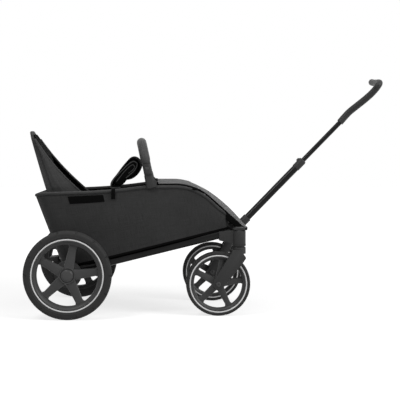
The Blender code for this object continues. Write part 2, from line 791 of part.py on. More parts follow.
def make_front_wheel(label, side, fork):
    """Make one caster's wheel."""
    centre = (SWIVEL_X - TRAIL, side * FRONT_TRACK_HALF, FRONT_RADIUS)
    carrier = make_empty("front_wheel_axis_" + label, centre, fork)
    make_tyre("front_tyre_" + label, side, centre, FRONT_RADIUS, FRONT_TYRE_WIDTH,
              FRONT_SEAT_RADIUS, FRONT_FACETS, carrier)
    make_reflector("front_reflector_" + label, side, centre, FRONT_TYRE_WIDTH,
                    FRONT_SEAT_RADIUS, FRONT_FACETS, carrier)
    hub = [(FRONT_HUB_RADIUS - 0.003, -FRONT_HUB_HALF), (FRONT_HUB_RADIUS, -FRONT_HUB_HALF + 0.003),
           (FRONT_HUB_RADIUS, FRONT_HUB_HALF - 0.003), (FRONT_HUB_RADIUS - 0.003, FRONT_HUB_HALF)]
    spokes = (FRONT_SPOKE_START, FRONT_SPOKE_ROOT, FRONT_SPOKE_TIP, FRONT_SPOKE_DEPTH, 0.004)
    make_rim("front_rim_" + label, side, centre, FRONT_SEAT_RADIUS, FRONT_WINDOW_RADIUS,
             FRONT_TYRE_WIDTH, FRONT_FACETS, spokes, hub, FRONT_AXLE_RADIUS + RUNNING_GAP, carrier)


def fork_leg_outline(shoulder):
    """Return a fork leg's side outline, broad on the outer side and slim inside."""
    axle = (SWIVEL_X - TRAIL, FRONT_RADIUS)
    top = FORK_TOP - FORK_CROWN_DROP * 0.45
    rear_angle = math.radians(150.0)
    front_angle = math.radians(-36.0)
    end = arc(axle, FORK_END_RADIUS, rear_angle, front_angle + 2.0 * math.pi, 8)
    crown_rear = (SWIVEL_X - HOUSING_RADIUS, top)
    crown_front = (SWIVEL_X + HOUSING_RADIUS * shoulder, top - 0.026 * shoulder)
    heel = (SWIVEL_X + HOUSING_RADIUS * shoulder - 0.010, top - 0.026 * shoulder - 0.015)
    return [crown_rear] + end + [heel, crown_front, (SWIVEL_X + 0.006, top)]


def make_fork(label, side, chassis):
    """Make one caster: two-legged fork with its swivel stem, and the axle bolt."""
    pivot = (SWIVEL_X, side * FRONT_TRACK_HALF, FORK_TOP)
    carrier = make_empty("caster_axis_" + label, pivot, chassis)
    y = side * FRONT_TRACK_HALF
    outer_face = FORK_LEG_GAP + FORK_LEG_THICK
    stations = [(HOUSING_RADIUS, 0.0), (HOUSING_RADIUS, FORK_CROWN_DROP)]
    low = (SWIVEL_X, y, FORK_TOP - FORK_CROWN_DROP)
    points, faces = skin(turned_rings(stations, ROUND_FACETS, low, (0.0, 0.0, 1.0)))
    fork = make_object("fork_" + label, points, faces, MATT_PLASTIC)
    bridge_low = (SWIVEL_X - HOUSING_RADIUS + 0.001, y - outer_face + 0.001, FORK_TOP - FORK_CROWN_DROP)
    bridge_high = (SWIVEL_X + 0.012, y + outer_face - 0.001, FORK_TOP - 0.009)
    fork = fuse(fork, box("bridge_tool", bridge_low, bridge_high, MATT_PLASTIC))
    for sign, shoulder in ((1.0, 1.0), (-1.0, 0.35)):
        inner = y + side * sign * FORK_LEG_GAP
        outer = y + side * sign * outer_face
        leg = prism("leg_tool", fork_leg_outline(shoulder), min(inner, outer), max(inner, outer),
                    MATT_PLASTIC)
        fork = fuse(fork, leg)
    axle = (SWIVEL_X - TRAIL, y, FRONT_RADIUS)
    clear = FRONT_RADIUS + 0.005
    stations = [(clear, -FORK_LEG_GAP), (clear, FORK_LEG_GAP)]
    points, faces = skin(turned_rings(stations, 24, axle, (0.0, 1.0, 0.0)))
    fork = carve(fork, make_object("arch_tool", points, faces, MATT_PLASTIC))
    bolt_bore = FRONT_AXLE_RADIUS + SEAT_GAP
    fork = carve(fork, rod("axle_tool", (axle[0], y - 0.05, axle[2]), (axle[0], y + 0.05, axle[2]),
                           bolt_bore, SMALL_FACETS, STEEL))
    head_low = HOUSING_TOP - HOUSING_WALL - 0.001
    stations = [(STEM_RADIUS, FORK_TOP - 0.004), (STEM_RADIUS, head_low - 0.009),
                (STEM_HEAD_RADIUS, head_low - 0.007), (STEM_HEAD_RADIUS, head_low - 0.002)]
    points, faces = skin(turned_rings(stations, SMALL_FACETS, (SWIVEL_X, y, 0.0), (0.0, 0.0, 1.0)))
    fork = fuse(fork, make_object("stem_tool", points, faces, STEEL))
    fork.data.shade_smooth()
    fork.data.set_sharp_from_angle(angle=math.radians(30.0))
    attach(fork, carrier)
    head = outer_face + SEAT_GAP
    stations = [(0.0085, -head - 0.003), (0.0085, -head), (FRONT_AXLE_RADIUS, -head),
                (FRONT_AXLE_RADIUS, head), (0.0085, head), (0.0085, head + 0.003)]
    points, faces = skin(turned_rings(stations, SMALL_FACETS, axle, (0.0, 1.0, 0.0)))
    make_object("front_axle_" + label, points, faces, STEEL, carrier)
    return carrier


def rail_section(x, side, grow):
    """Return one upright cross-section of a rail, enlarged by a clearance."""
    half_width = RAIL_WIDTH / 2.0 + grow
    half_height = RAIL_HEIGHT / 2.0 + grow
    middle = Vector((x, side * rail_half(x), rail_bottom(x) + RAIL_HEIGHT / 2.0))
    corner = 0.006
    outline = [(half_width, half_height - corner), (half_width - corner, half_height),
               (-half_width + corner, half_height), (-half_width, half_height - corner),
               (-half_width, -half_height + corner), (-half_width + corner, -half_height),
               (half_width - corner, -half_height), (half_width, -half_height + corner)]
    return [middle + Vector((0.0, a, b)) for a, b in outline]


def make_rail(name, side, parent=None, grow=0.0):
    """Make one straight lower rail, or its clearance solid."""
    rings = [rail_section(x, side, grow) for x in (RAIL_REAR_X - grow, RAIL_FRONT_X + grow)]
    points, faces = skin(rings)
    rail = make_object(name, points, faces, GLOSS_FRAME)
    if parent:
        reach = side * 0.3
        bore = rod("axle_tool", (0.0, 0.0, REAR_RADIUS), (0.0, reach, REAR_RADIUS),
                   SPINDLE_RADIUS + SEAT_GAP, SMALL_FACETS, STEEL)
        rail = carve(rail, bore)
        attach(rail, parent)
    return rail


def axle_block_reach():
    """Return how far the axle blocks' inner and outer faces lie from the middle."""
    widest = rail_half(RAIL_REAR_X) + RAIL_WIDTH / 2.0
    narrowest = rail_half(AXLE_BLOCK_FRONT) - RAIL_WIDTH / 2.0
    return narrowest - AXLE_BLOCK_WALL - AXLE_BLOCK_SOCKET, widest + AXLE_BLOCK_WALL


def make_axle_block(label, side, parent):
    """Make the block that joins a rail's end, the axle beam and a wheel's spindle."""
    inner, outer = axle_block_reach()
    lift = -SEAT_GAP
    rear = -BRAKE_PIN_OFFSET - BRAKE_PIN_RADIUS - 0.012
    front = AXLE_BLOCK_FRONT
    low = -0.008
    outline = [(rear, rail_bottom(rear) + low + 0.012), (rear + 0.010, rail_bottom(rear) + low),
               (front, rail_bottom(front) + low), (front, rail_top(front) + lift - 0.001),
               (rear, rail_top(rear) + lift - 0.001)]
    block = prism("axle_block_" + label, outline, min(side * inner, side * outer),
                  max(side * inner, side * outer), MATT_PLASTIC)
    block = carve(block, make_rail("rail_tool", side, None, SEAT_GAP))
    axle = (0.0, 0.0, REAR_RADIUS)
    deep = side * (inner + AXLE_BLOCK_SOCKET)
    block = carve(block, rod("beam_tool", (0.0, side * (inner - 0.01), axle[2]), (0.0, deep, axle[2]),
                             AXLE_BEAM_RADIUS + SEAT_GAP, ROUND_FACETS, GLOSS_FRAME))
    block = carve(block, rod("spindle_tool", (0.0, deep - side * 0.01, axle[2]),
                             (0.0, side * (outer + 0.01), axle[2]), SPINDLE_RADIUS + SEAT_GAP, SMALL_FACETS, STEEL))
    x = -BRAKE_PIN_OFFSET
    block = carve(block, rod("shaft_tool", (x, side * (inner - 0.01), axle[2]), (x, deep, axle[2]),
                             BRAKE_SHAFT_RADIUS + RUNNING_GAP, SMALL_FACETS, STEEL))
    block = carve(block, rod("pin_tool", (x, side * (inner + 0.004), axle[2]),
                             (x, side * (outer + 0.01), axle[2]), BRAKE_PIN_RADIUS + SLIDE_GAP, SMALL_FACETS, STEEL))
    attach(block, parent)


def make_rear_axle(parent):
    """Make the axle rod that runs through the beam and both blocks into the hubs."""
    end = REAR_TRACK_HALF + hub_recess_floor() - RUNNING_GAP
    stations = [(SPINDLE_RADIUS - 0.001, -end), (SPINDLE_RADIUS, -end + 0.001),
                (SPINDLE_RADIUS, end - 0.001), (SPINDLE_RADIUS - 0.001, end)]
    points, faces = skin(turned_rings(stations, SMALL_FACETS, (0.0, 0.0, REAR_RADIUS), (0.0, 1.0, 0.0)))
    make_object("rear_axle", points, faces, STEEL, parent)


def hub_recess_floor():
    """Return how far outward of the wheel's middle the hub's button recess starts."""
    return HUB_OUTER_LENGTH + HUB_BUTTON_DOME - HUB_BUTTON_LENGTH - HUB_BUTTON_TRAVEL - RUNNING_GAP


def make_axle_beam(parent):
    """Make the tube between the axle blocks, with the axle's bore through it."""
    inner, _ = axle_block_reach()
    end = inner + AXLE_BLOCK_SOCKET - SEAT_GAP
    axle = (0.0, 0.0, REAR_RADIUS)
    outer = turned_rings([(AXLE_BEAM_RADIUS, -end), (AXLE_BEAM_RADIUS, end)], ROUND_FACETS, axle, (0.0, 1.0, 0.0))
    bore = SPINDLE_RADIUS + SEAT_GAP
    inside = turned_rings([(bore, -end), (bore, end)], ROUND_FACETS, axle, (0.0, 1.0, 0.0))
    points, faces = hollow_skin(outer, inside)
    make_object("rear_axle_beam", points, faces, GLOSS_FRAME, parent)


def make_brake(chassis):
    """Make the foot pedal with its cross shaft, and the two locking pins."""
    inner, outer = axle_block_reach()
    pivot = (-BRAKE_PIN_OFFSET, 0.0, REAR_RADIUS)
    carrier = make_empty("brake_axis", pivot, chassis)
    end = inner + AXLE_BLOCK_SOCKET - 0.001
    pedal = rod("brake_pedal", (pivot[0], -end, pivot[2]), (pivot[0], end, pivot[2]),
                BRAKE_SHAFT_RADIUS, SMALL_FACETS, MATT_PLASTIC)
    pad_x, pad_z = BRAKE_PAD_PLACE
    length, width, thick = BRAKE_PAD_SIZE
    arm = [(pivot[0] - 0.009, pivot[2] - 0.006), (pivot[0] + 0.007, pivot[2] - 0.006),
           (pivot[0] + 0.007, pivot[2] + 0.008), (pad_x + length / 2.0 - 0.004, pad_z + thick / 2.0 - 0.002),
           (pad_x - length / 2.0 + 0.006, pad_z - thick / 2.0 + 0.002)]
    pedal = fuse(pedal, prism("arm_tool", arm, -BRAKE_ARM_WIDTH / 2.0, BRAKE_ARM_WIDTH / 2.0, MATT_PLASTIC))
    pad = [(pad_x - length / 2.0, pad_z - thick / 2.0 + 0.004), (pad_x - length / 2.0 + 0.007, pad_z - thick / 2.0),
           (pad_x + length / 2.0, pad_z - thick / 2.0 + 0.003), (pad_x + length / 2.0, pad_z + thick / 2.0 + 0.003),
           (pad_x - length / 2.0, pad_z + thick / 2.0)]
    pedal = fuse(pedal, prism("pad_tool", pad, -width / 2.0, width / 2.0, MATT_PLASTIC))
    attach(pedal, carrier)
    for label, side in SIDES:
        start = end + SEAT_GAP
        tip = REAR_TRACK_HALF - HUB_INNER_LENGTH - BRAKE_PIN_REST_GAP
        stations = [(BRAKE_PIN_RADIUS, start), (BRAKE_PIN_RADIUS, tip - 0.0015), (BRAKE_PIN_RADIUS - 0.001, tip)]
        rings = turned_rings(stations, SMALL_FACETS, (pivot[0], 0.0, pivot[2]), (0.0, side, 0.0))
        points, faces = skin(rings)
        holder = make_empty("brake_pin_axis_" + label, (pivot[0], side * start, pivot[2]), chassis)
        make_object("brake_pin_" + label, points, faces, STEEL, holder)


def crossbeam_end():
    """Return how far the front crossbeam reaches into each housing's arm."""
    return rail_half(RAIL_FRONT_X) - RAIL_WIDTH / 2.0 - 0.001


def make_crossbeam(parent):
    """Make the tube between the caster housings that carries the handle."""
    end = crossbeam_end()
    rod("front_crossbeam", (CROSSBEAM_X, -end, CROSSBEAM_Z), (CROSSBEAM_X, end, CROSSBEAM_Z),
        CROSSBEAM_RADIUS, ROUND_FACETS, GLOSS_FRAME, parent)


def make_housing(label, side, parent):
    """Make one caster housing with the socket that holds a rail's front end."""
    y = side * FRONT_TRACK_HALF
    rings = turned_rings([(HOUSING_RADIUS, 0.0), (HOUSING_RADIUS, HOUSING_TOP - HOUSING_BOTTOM - 0.004),
                          (HOUSING_RADIUS - 0.004, HOUSING_TOP - HOUSING_BOTTOM)], 24,
                         (SWIVEL_X, y, HOUSING_BOTTOM), (0.0, 0.0, 1.0))
    points, faces = skin(rings)
    housing = make_object("caster_housing_" + label, points, faces, MATT_PLASTIC)
    rear = RAIL_FRONT_X - 0.034
    wall = 0.004
    outline = [(rear, rail_bottom(rear) - wall), (SWIVEL_X - 0.008, HOUSING_BOTTOM + 0.006),
               (SWIVEL_X - 0.008, HOUSING_TOP - 0.006), (RAIL_FRONT_X + 0.004, HOUSING_TOP - 0.002),
               (rear, rail_top(rear) - 2.0 * SEAT_GAP)]
    middle = rail_half(RAIL_FRONT_X)
    low = side * (middle - RAIL_WIDTH / 2.0 - 0.007)
    high = side * (middle + RAIL_WIDTH / 2.0 + 0.007)
    housing = fuse(housing, prism("arm_tool", outline, min(low, high), max(low, high), MATT_PLASTIC))
    housing = carve(housing, make_rail("rail_tool", side, None, SEAT_GAP))
    housing = carve(housing, rod("beam_tool", (CROSSBEAM_X, 0.0, CROSSBEAM_Z),
                                 (CROSSBEAM_X, side * (crossbeam_end() + SEAT_GAP), CROSSBEAM_Z),
                                 CROSSBEAM_RADIUS + SEAT_GAP, ROUND_FACETS, GLOSS_FRAME))
    head_low = HOUSING_TOP - HOUSING_WALL - 0.001
    stations = [(STEM_RADIUS + RUNNING_GAP, HOUSING_BOTTOM - 0.01),
                (STEM_RADIUS + RUNNING_GAP, head_low - 0.010),
                (STEM_HEAD_RADIUS + RUNNING_GAP, head_low - 0.0078),
                (STEM_HEAD_RADIUS + RUNNING_GAP, head_low)]
    points, faces = skin(turned_rings(stations, SMALL_FACETS, (SWIVEL_X, y, 0.0), (0.0, 0.0, 1.0)))
    housing = carve(housing, make_object("bore_tool", points, faces, STEEL))
    attach(housing, parent)


def roll_section():
    """Return the roll's section: an oval with a bore that is open along the seam below."""
    slot = RIM_SEAM / 2.0
    outer = oval(RIM_ROLL_WIDTH, RIM_ROLL_HEIGHT, 8, 0.75)
    bottom = min(b for _, b in outer)
    low = min((i for i in range(8) if outer[i][0] > 0.0), key=lambda i: outer[i][1])
    upper = [outer[(low + i) % 8] for i in range(8)]
    bore = circle(RIM_TUBE_RADIUS + 3.0 * SEAT_GAP, 6)
    start = min((i for i in range(6) if bore[i][0] < 0.0), key=lambda i: bore[i][1])
    inner = [bore[(start - i) % 6] for i in range(6)]
    return [(slot, bottom)] + upper + [(-slot, bottom)] + inner


def make_rim_roll(parent):
    """Make the padded roll round the tub's mouth."""
    points, faces = skin(sweep_rings(rim_path(), roll_section(), closed=True), wrap=True)
    make_object("rim_roll", points, faces, TUB_FABRIC, parent)


def roll_tool(gap):
    """Make the solid that clears the rim's roll by a gap."""
    section = oval(RIM_ROLL_WIDTH + 2.0 * gap, RIM_ROLL_HEIGHT + 2.0 * gap, 8, 0.75)
    points, faces = skin(sweep_rings(rim_path(), section, closed=True), wrap=True)
    return make_object("roll_tool", points, faces, TUB_FABRIC)


def make_rim_tube(parent):
    """Make the steel hoop inside the rim's roll."""
    section = circle(RIM_TUBE_RADIUS, 6, 0.0)
    points, faces = skin(sweep_rings(rim_path(), section, closed=True), wrap=True)
    make_object("rim_tube", points, faces, STEEL, parent)


def tub_loop(share, inset):
    """Return one level of the tub's wall, from its base (0) to its mouth (1)."""
    half_roll = RIM_ROLL_HEIGHT / 2.0 + SEAT_GAP

    def mouth(x):
        past = min(max(0.0, x - RIM_LEVEL_END_X) / RIM_BEND_RADIUS, math.sin(RIM_DROP_ANGLE))
        return rim_height(x) - half_roll * (1.0 + 1.0 / math.cos(math.asin(past)))

    def base(x):
        return rail_top(x) + SEAT_GAP + inset

    step = TUB_STEP_IN + inset
    low = boat_loop(TUB_BASE_REAR_X + inset, TUB_BASE_FRONT_X - inset, TUB_BASE_REAR_HALF - inset,
                    TUB_BASE_WIDEST_HALF - inset, TUB_BASE_FRONT_HALF - inset, RIM_CORNER - inset, base)
    high = boat_loop(RIM_REAR_X + step, RIM_FRONT_X - step, RIM_REAR_HALF - step,
                     RIM_WIDEST_HALF - step, RIM_FRONT_HALF - step, RIM_CORNER - inset, mouth)
    bulge = 0.004 * math.sin(math.pi * share)
    loop = []
    for a, b in zip(low, high):
        point = a.lerp(b, share)
        out = Vector((0.0, math.copysign(bulge, point.y) if abs(point.y) > 0.05 else 0.0, 0.0))
        loop.append(point + out)
    return loop


def make_tub(parent):
    """Make the fabric tub: bowed walls on a sloping base, open at the top."""
    shares = (0.0, 0.35, 0.7, 1.0)
    outer = [tub_loop(share, 0.0) for share in shares]
    inner = [tub_loop(share, TUB_WALL) for share in shares]
    points, faces = skin(outer, caps=False)
    more, extra = skin(inner, caps=False)
    shift = len(points)
    count = len(outer[0])
    faces += [tuple(shift + i for i in face) for face in extra]
    faces.append(tuple(range(count)))
    faces.append(tuple(range(shift, shift + count)))
    top = (len(shares) - 1) * count
    for j in range(count):
        k = (j + 1) % count
        faces.append((top + j, top + k, shift + top + k, shift + top + j))
    make_object("tub_shell", points + more, faces, TUB_FABRIC, parent)


def floor_top(x):
    """Return the height of the floor board's upper side."""
    return rail_top(x) + TUB_WALL + FLOOR_THICK + 2.0 * SEAT_GAP


def make_floor(parent):
    """Make the stiff floor board with the backrest's two hinge ears."""
    margin = TUB_WALL + FLOOR_MARGIN

    def level(offset):
        return boat_loop(TUB_BASE_REAR_X + margin + 0.004, TUB_BASE_FRONT_X - margin - 0.010,
                         TUB_BASE_REAR_HALF - margin, TUB_BASE_WIDEST_HALF - margin,
                         TUB_BASE_FRONT_HALF - margin, RIM_CORNER, lambda x: floor_top(x) - offset)

    points, faces = skin([level(FLOOR_THICK), level(0.0)])
    floor = make_object("floor_board", points, faces, MATT_PLASTIC)
    x, z = backrest_pivot()
    for side in (-1.0, 1.0):
        y = side * (BACKREST_BASE_HALF + 0.006)
        outline = [(x - 0.012, floor_top(x - 0.012) - 0.002), (x + 0.014, floor_top(x + 0.014) - 0.002)]
        outline += arc((x, z), 0.011, math.radians(-10.0), math.radians(190.0), 8)
        ear = prism("ear_tool", outline, y - 0.003, y + 0.003, MATT_PLASTIC)
        floor = fuse(floor, ear)
    reach = BACKREST_BASE_HALF + 0.02
    floor = carve(floor, rod("barrel_tool", (x, -reach, z), (x, reach, z),
                             BACKREST_BARREL - 0.002 + RUNNING_GAP, SMALL_FACETS, STEEL))
    attach(floor, parent)


def backrest_pivot():
    """Return the X and Z of the backrest's hinge line just above the floor board."""
    x = BACKREST_PIVOT_X
    return x, floor_top(x) + BACKREST_BARREL + 0.0015


def backrest_half(along):
    """Return the backrest's half width at a distance up from its hinge."""
    rim_along = 0.26
    if along < rim_along:
        return blend(BACKREST_BASE_HALF, BACKREST_RIM_HALF, along / rim_along)
    share = (along - rim_along) / (BACKREST_LENGTH - rim_along)
    width = blend(BACKREST_RIM_HALF, BACKREST_TOP_HALF, share ** 1.25)
    left = BACKREST_LENGTH - along
    if left < BACKREST_TOP_CORNER:
        fall = BACKREST_TOP_CORNER - left
        width -= BACKREST_TOP_CORNER - math.sqrt(max(0.0, BACKREST_TOP_CORNER ** 2 - fall ** 2))
    return width


def backrest_place(along, forward, y):
    """Return the world point at a place on the leaning backrest."""
    x, z = backrest_pivot()
    up = Vector((-math.sin(BACKREST_LEAN), 0.0, math.cos(BACKREST_LEAN)))
    out = Vector((math.cos(BACKREST_LEAN), 0.0, math.sin(BACKREST_LEAN)))
    return Vector((x, 0.0, z)) + up * along + out * forward + Vector((0.0, y, 0.0))


def pad_depth(along):
    """Return the backrest pad's full thickness, tapering to a thin top edge."""
    thin = min(1.0, (BACKREST_LENGTH - along) / BACKREST_TAPER)
    return blend(0.001, BACKREST_PAD, thin)


def backrest_steps(start, end):
    """Return distances up the backrest, closer together at its round top."""
    low = [blend(start, end - BACKREST_TOP_CORNER, i / 7.0) for i in range(8)]
    high = [end - BACKREST_TOP_CORNER * (1.0 - math.sin(math.radians(a))) for a in (30.0, 55.0, 75.0, 90.0)]
    return low + high


def make_backrest(chassis):
    """Make the backrest's board and pad, carried on the hinge at the floor."""
    x, z = backrest_pivot()
    carrier = make_empty("backrest_axis", (x, 0.0, z), chassis)
    half = BACKREST_BOARD / 2.0
    rings = []
    for along in backrest_steps(0.0, BACKREST_LENGTH):
        width = backrest_half(along)
        rings.append([backrest_place(along, forward, y)
                      for forward, y in ((-half, -width), (half, -width), (half, width), (-half, width))])
    points, faces = skin(rings)
    board = make_object("backrest_board", points, faces, MATT_PLASTIC)
    reach = BACKREST_BASE_HALF + 0.008
    board = fuse(board, rod("barrel_tool", (x, -BACKREST_BASE_HALF + 0.001, z),
                            (x, BACKREST_BASE_HALF - 0.001, z), BACKREST_BARREL, SMALL_FACETS, MATT_PLASTIC))
    board = fuse(board, rod("pin_tool", (x, -reach, z), (x, reach, z), BACKREST_BARREL - 0.002, SMALL_FACETS, STEEL))
    attach(board, carrier)
    rear = half + SEAT_GAP
    grid_low = []
    grid_high = []
    columns = 11
    last = BACKREST_LENGTH - 0.004
    for along in backrest_steps(BACKREST_PAD_START, last):
        width = backrest_half(along) - SEAT_GAP
        rise = (along - BACKREST_PAD_START) / (last - BACKREST_PAD_START)
        low_row = []
        high_row = []
        for column in range(columns):
            share = -1.0 + 2.0 * column / (columns - 1)
            edge = 1.0 - abs(share) ** 6
            ends = 1.0 - (1.0 - rise) ** 14
            channel = 0.0035 * max(0.0, math.cos(3.0 * math.pi * rise)) ** 6 * edge
            full = pad_depth(along)
            thick = full * (0.78 + 0.22 * edge * ends) - channel * full / BACKREST_PAD
            low_row.append(backrest_place(along, rear, share * width))
            high_row.append(backrest_place(along, rear + thick, share * width))
        grid_low.append(low_row)
        grid_high.append(high_row)
    points, faces = sheet_skin(grid_high, grid_low)
    make_object("backrest_pad", points, faces, LINING, carrier)
    for label, side in SIDES:
        make_wing(label, side, carrier)
        make_shoulder_strap(label, side, carrier)


def wing_front(share):
    """Return the wing's front edge from inside the tub (0) to its upper end (1)."""
    share *= WING_END
    foot = Vector((WING_FOOT[0], 0.0, WING_FOOT[1]))
    top = backrest_place(BACKREST_LENGTH + 0.002, 0.002, 0.0)
    run = top - foot
    pull = foot + run * WING_SAG_SHARE - Vector((run.z, 0.0, -run.x)) * WING_SAG
    return foot * (1.0 - share) ** 2 + pull * 2.0 * share * (1.0 - share) + top * share ** 2


def make_wing(label, side, carrier):
    """Make the fabric gusset between the backrest's side and the rim."""
    upper = []
    lower = []
    pad_front = BACKREST_BOARD / 2.0 + BACKREST_PAD
    z_pivot = backrest_pivot()[1]
    for step in range(9):
        share = step / 8.0
        front = wing_front(share)
        along = (front.z - z_pivot - pad_front * math.sin(BACKREST_LEAN)) / math.cos(BACKREST_LEAN)
        seam = BACKREST_BOARD / 2.0 + pad_depth(along) * blend(*WING_SEAM, share)
        level = (front.z - z_pivot - seam * math.sin(BACKREST_LEAN)) / math.cos(BACKREST_LEAN)
        back = backrest_place(level, seam, 0.0)
        width = backrest_half(along)
        high_row = []
        low_row = []
        for column in range(4):
            part = column / 3.0
            point = back.lerp(front, part)
            belly = 0.004 * math.sin(math.pi * part)
            y = width + belly - WING_CANT * (1.0 - share) * max(0.0, 1.5 * part - 0.5)
            high_row.append(Vector((point.x, side * (y + WING_THICK), point.z)))
            low_row.append(Vector((point.x, side * y, point.z)))
        upper.append(high_row)
        lower.append(low_row)
    points, faces = sheet_skin(upper, lower)
    make_object("backrest_wing_" + label, points, faces, HOOD_FABRIC, carrier)


def make_shoulder_strap(label, side, carrier):
    """Make one harness strap lying down the backrest pad."""
    grid_high = []
    grid_low = []
    front = BACKREST_BOARD / 2.0 + SEAT_GAP + BACKREST_PAD + SEAT_GAP
    for step in range(7):
        along = blend(0.130, 0.340, step / 6.0)
        rows = ([], [])
        for offset in (-STRAP_WIDTH / 2.0, STRAP_WIDTH / 2.0):
            y = side * (SHOULDER_STRAP_Y + 0.02 * step / 6.0) + offset
            rows[0].append(backrest_place(along, front + STRAP_THICK, y))
            rows[1].append(backrest_place(along, front, y))
        grid_high.append(rows[0])
        grid_low.append(rows[1])
    points, faces = sheet_skin(grid_high, grid_low)
    make_object("shoulder_strap_" + label, points, faces, LINING, carrier)


def cushion_top(x, y):
    """Return the height of the seat cushion's upper side at a place."""
    rise = (x - SEAT_REAR_X) / (SEAT_FRONT_X - SEAT_REAR_X)
    across = y / SEAT_HALF_WIDTH
    edge = (1.0 - abs(across) ** 6) * (1.0 - abs(2.0 * rise - 1.0) ** 6)
    crown = SEAT_CROWN * (1.0 - across ** 2) * (1.0 - (2.0 * rise - 1.0) ** 2)
    channel = SEAT_CHANNEL * max(0.0, math.cos(4.0 * math.pi * rise)) ** 8 * edge
    return floor_top(x) + SEAT_GAP + SEAT_THICK * (0.5 + 0.5 * edge) + crown - channel


def make_seat(parent):
    """Make the seat cushion: crowned, drawn in at its sides, with cross channels."""
    rows = 13
    columns = 11
    grid_high = []
    grid_low = []
    for row in range(rows):
        rise = row / (rows - 1)
        x = blend(SEAT_REAR_X, SEAT_FRONT_X, rise)
        drawn_in = 1.0 - 0.03 * (1.0 - abs(2.0 * rise - 1.0) ** 4)
        places = [SEAT_HALF_WIDTH * (-1.0 + 2.0 * column / (columns - 1)) for column in range(columns)]
        grid_low.append([Vector((x, y * drawn_in, floor_top(x) + SEAT_GAP)) for y in places])
        grid_high.append([Vector((x, y * drawn_in, cushion_top(x, y))) for y in places])
    points, faces = sheet_skin(grid_high, grid_low)
    make_object("seat_cushion", points, faces, LINING, parent)


def make_crotch_strap(parent):
    """Make the short strap between the legs with its buckle."""
    x = CROTCH_STRAP_X
    top = cushion_top(x + 2.0 * STRAP_THICK, 0.0) + SEAT_GAP
    strap = box("crotch_buckle", (x, -STRAP_WIDTH / 2.0, top),
                (x + STRAP_THICK * 2.0, STRAP_WIDTH / 2.0, top + 0.060), LINING)
    depth, width, height = BUCKLE_SIZE
    corner = 0.006
    outline = [(x - depth / 2.0, top + 0.050 + corner), (x - depth / 2.0 + corner, top + 0.050),
               (x + depth / 2.0 - corner, top + 0.050), (x + depth / 2.0, top + 0.050 + corner),
               (x + depth / 2.0, top + 0.050 + height - corner),
               (x + depth / 2.0 - corner, top + 0.050 + height),
               (x - depth / 2.0 + corner, top + 0.050 + height),
               (x - depth / 2.0, top + 0.050 + height - corner)]
    strap = fuse(strap, prism("buckle_tool", outline, -width / 2.0, width / 2.0, MATT_PLASTIC))
    attach(strap, parent)


def hood_line(x):
    """Return the hood's side edge height and half width at an X."""
    on_rim = min(x, RIM_FRONT_X - RIM_CORNER)
    half = rim_half(on_rim)
    if x > on_rim:
        share = (x - on_rim) / (HOOD_NOSE_X - on_rim)
        half = blend(half, HOOD_NOSE_HALF, share ** 1.5)
    return rim_height(x), half


def hood_row(x, lift):
    """Return one row of points across the hood, from the right edge to the left."""
    ahead = 0.002
    height, half = hood_line(x)
    slope = math.atan2(hood_line(x + ahead)[0] - height, ahead)
    out = Vector((-math.sin(slope), 0.0, math.cos(slope)))
    forward = Vector((math.cos(slope), 0.0, math.sin(slope)))
    rise = min(1.0, max(0.0, (x - HOOD_REAR_X) / (HOOD_NOSE_X - HOOD_REAR_X)))
    push = HOOD_NOSE_PUSH * rise ** 3
    swell = max(0.0, (x - HOOD_SWELL_START) / (HOOD_NOSE_X - HOOD_SWELL_START))
    crown = HOOD_CROWN + HOOD_SWELL * math.sin(math.pi * swell)
    row = []
    columns = 11
    edge_lift = SEAT_GAP + 0.0004
    for column in range(columns):
        share = -1.0 + 2.0 * column / (columns - 1)
        fall = 1.0 - abs(share) ** 2.4
        y = math.copysign(abs(share) ** 0.92, share) * (half + 0.004 * (lift / HOOD_WALL))
        point = Vector((x, y, height)) + out * (edge_lift + lift + crown * fall) + forward * push * fall
        row.append(point)
    return row


def make_hood(parent):
    """Make the crowned cover over the foot space, notched for the handle at its nose."""
    rows = 13
    stations = [blend(HOOD_REAR_X, HOOD_NOSE_X, i / (rows - 1)) for i in range(rows)]
    upper = [hood_row(x, HOOD_WALL) for x in stations]
    lower = [hood_row(x, 0.0) for x in stations]
    points, faces = sheet_skin(upper, lower)
    hood = make_object("hood", points, faces, HOOD_FABRIC)
    w = NOTCH_HALF_WIDTH
    centre_x = NOTCH_REAR_X + w
    outline = arc((centre_x, 0.0), w, 0.5 * math.pi, 1.5 * math.pi, 8)
    outline += [(centre_x + 0.08, -w), (centre_x + 0.08, w)]
    rings = [[Vector((x, y, z)) for x, y in outline] for z in (0.24, 0.46)]
    points, faces = skin(rings)
    hood = carve(hood, make_object("notch_tool", points, faces, HOOD_FABRIC))
    hood = carve(hood, roll_tool(HOOD_SEAT_GAP))
    hood.data.shade_smooth()
    hood.data.set_sharp_from_angle(angle=math.radians(35.0))
    attach(hood, parent)


def bumper_line(z):
    """Return the X of the bumper post's middle at a height."""
    base = rim_height(BUMPER_BASE_X)
    return BUMPER_BASE_X - (z - base) * math.tan(BUMPER_LEAN)


def bumper_axis():
    """Return the direction in which the bumper bar lifts out of its sockets."""
    return Vector((-math.sin(BUMPER_LEAN), 0.0, math.cos(BUMPER_LEAN)))


def bumper_forward():
    """Return the direction square to the plane of the bumper's arch."""
    return Vector((math.cos(BUMPER_LEAN), 0.0, math.sin(BUMPER_LEAN)))


def bumper_point(z, y):
    """Return the point of the bumper's middle line at a height on one side."""
    return Vector((bumper_line(z), y, z))


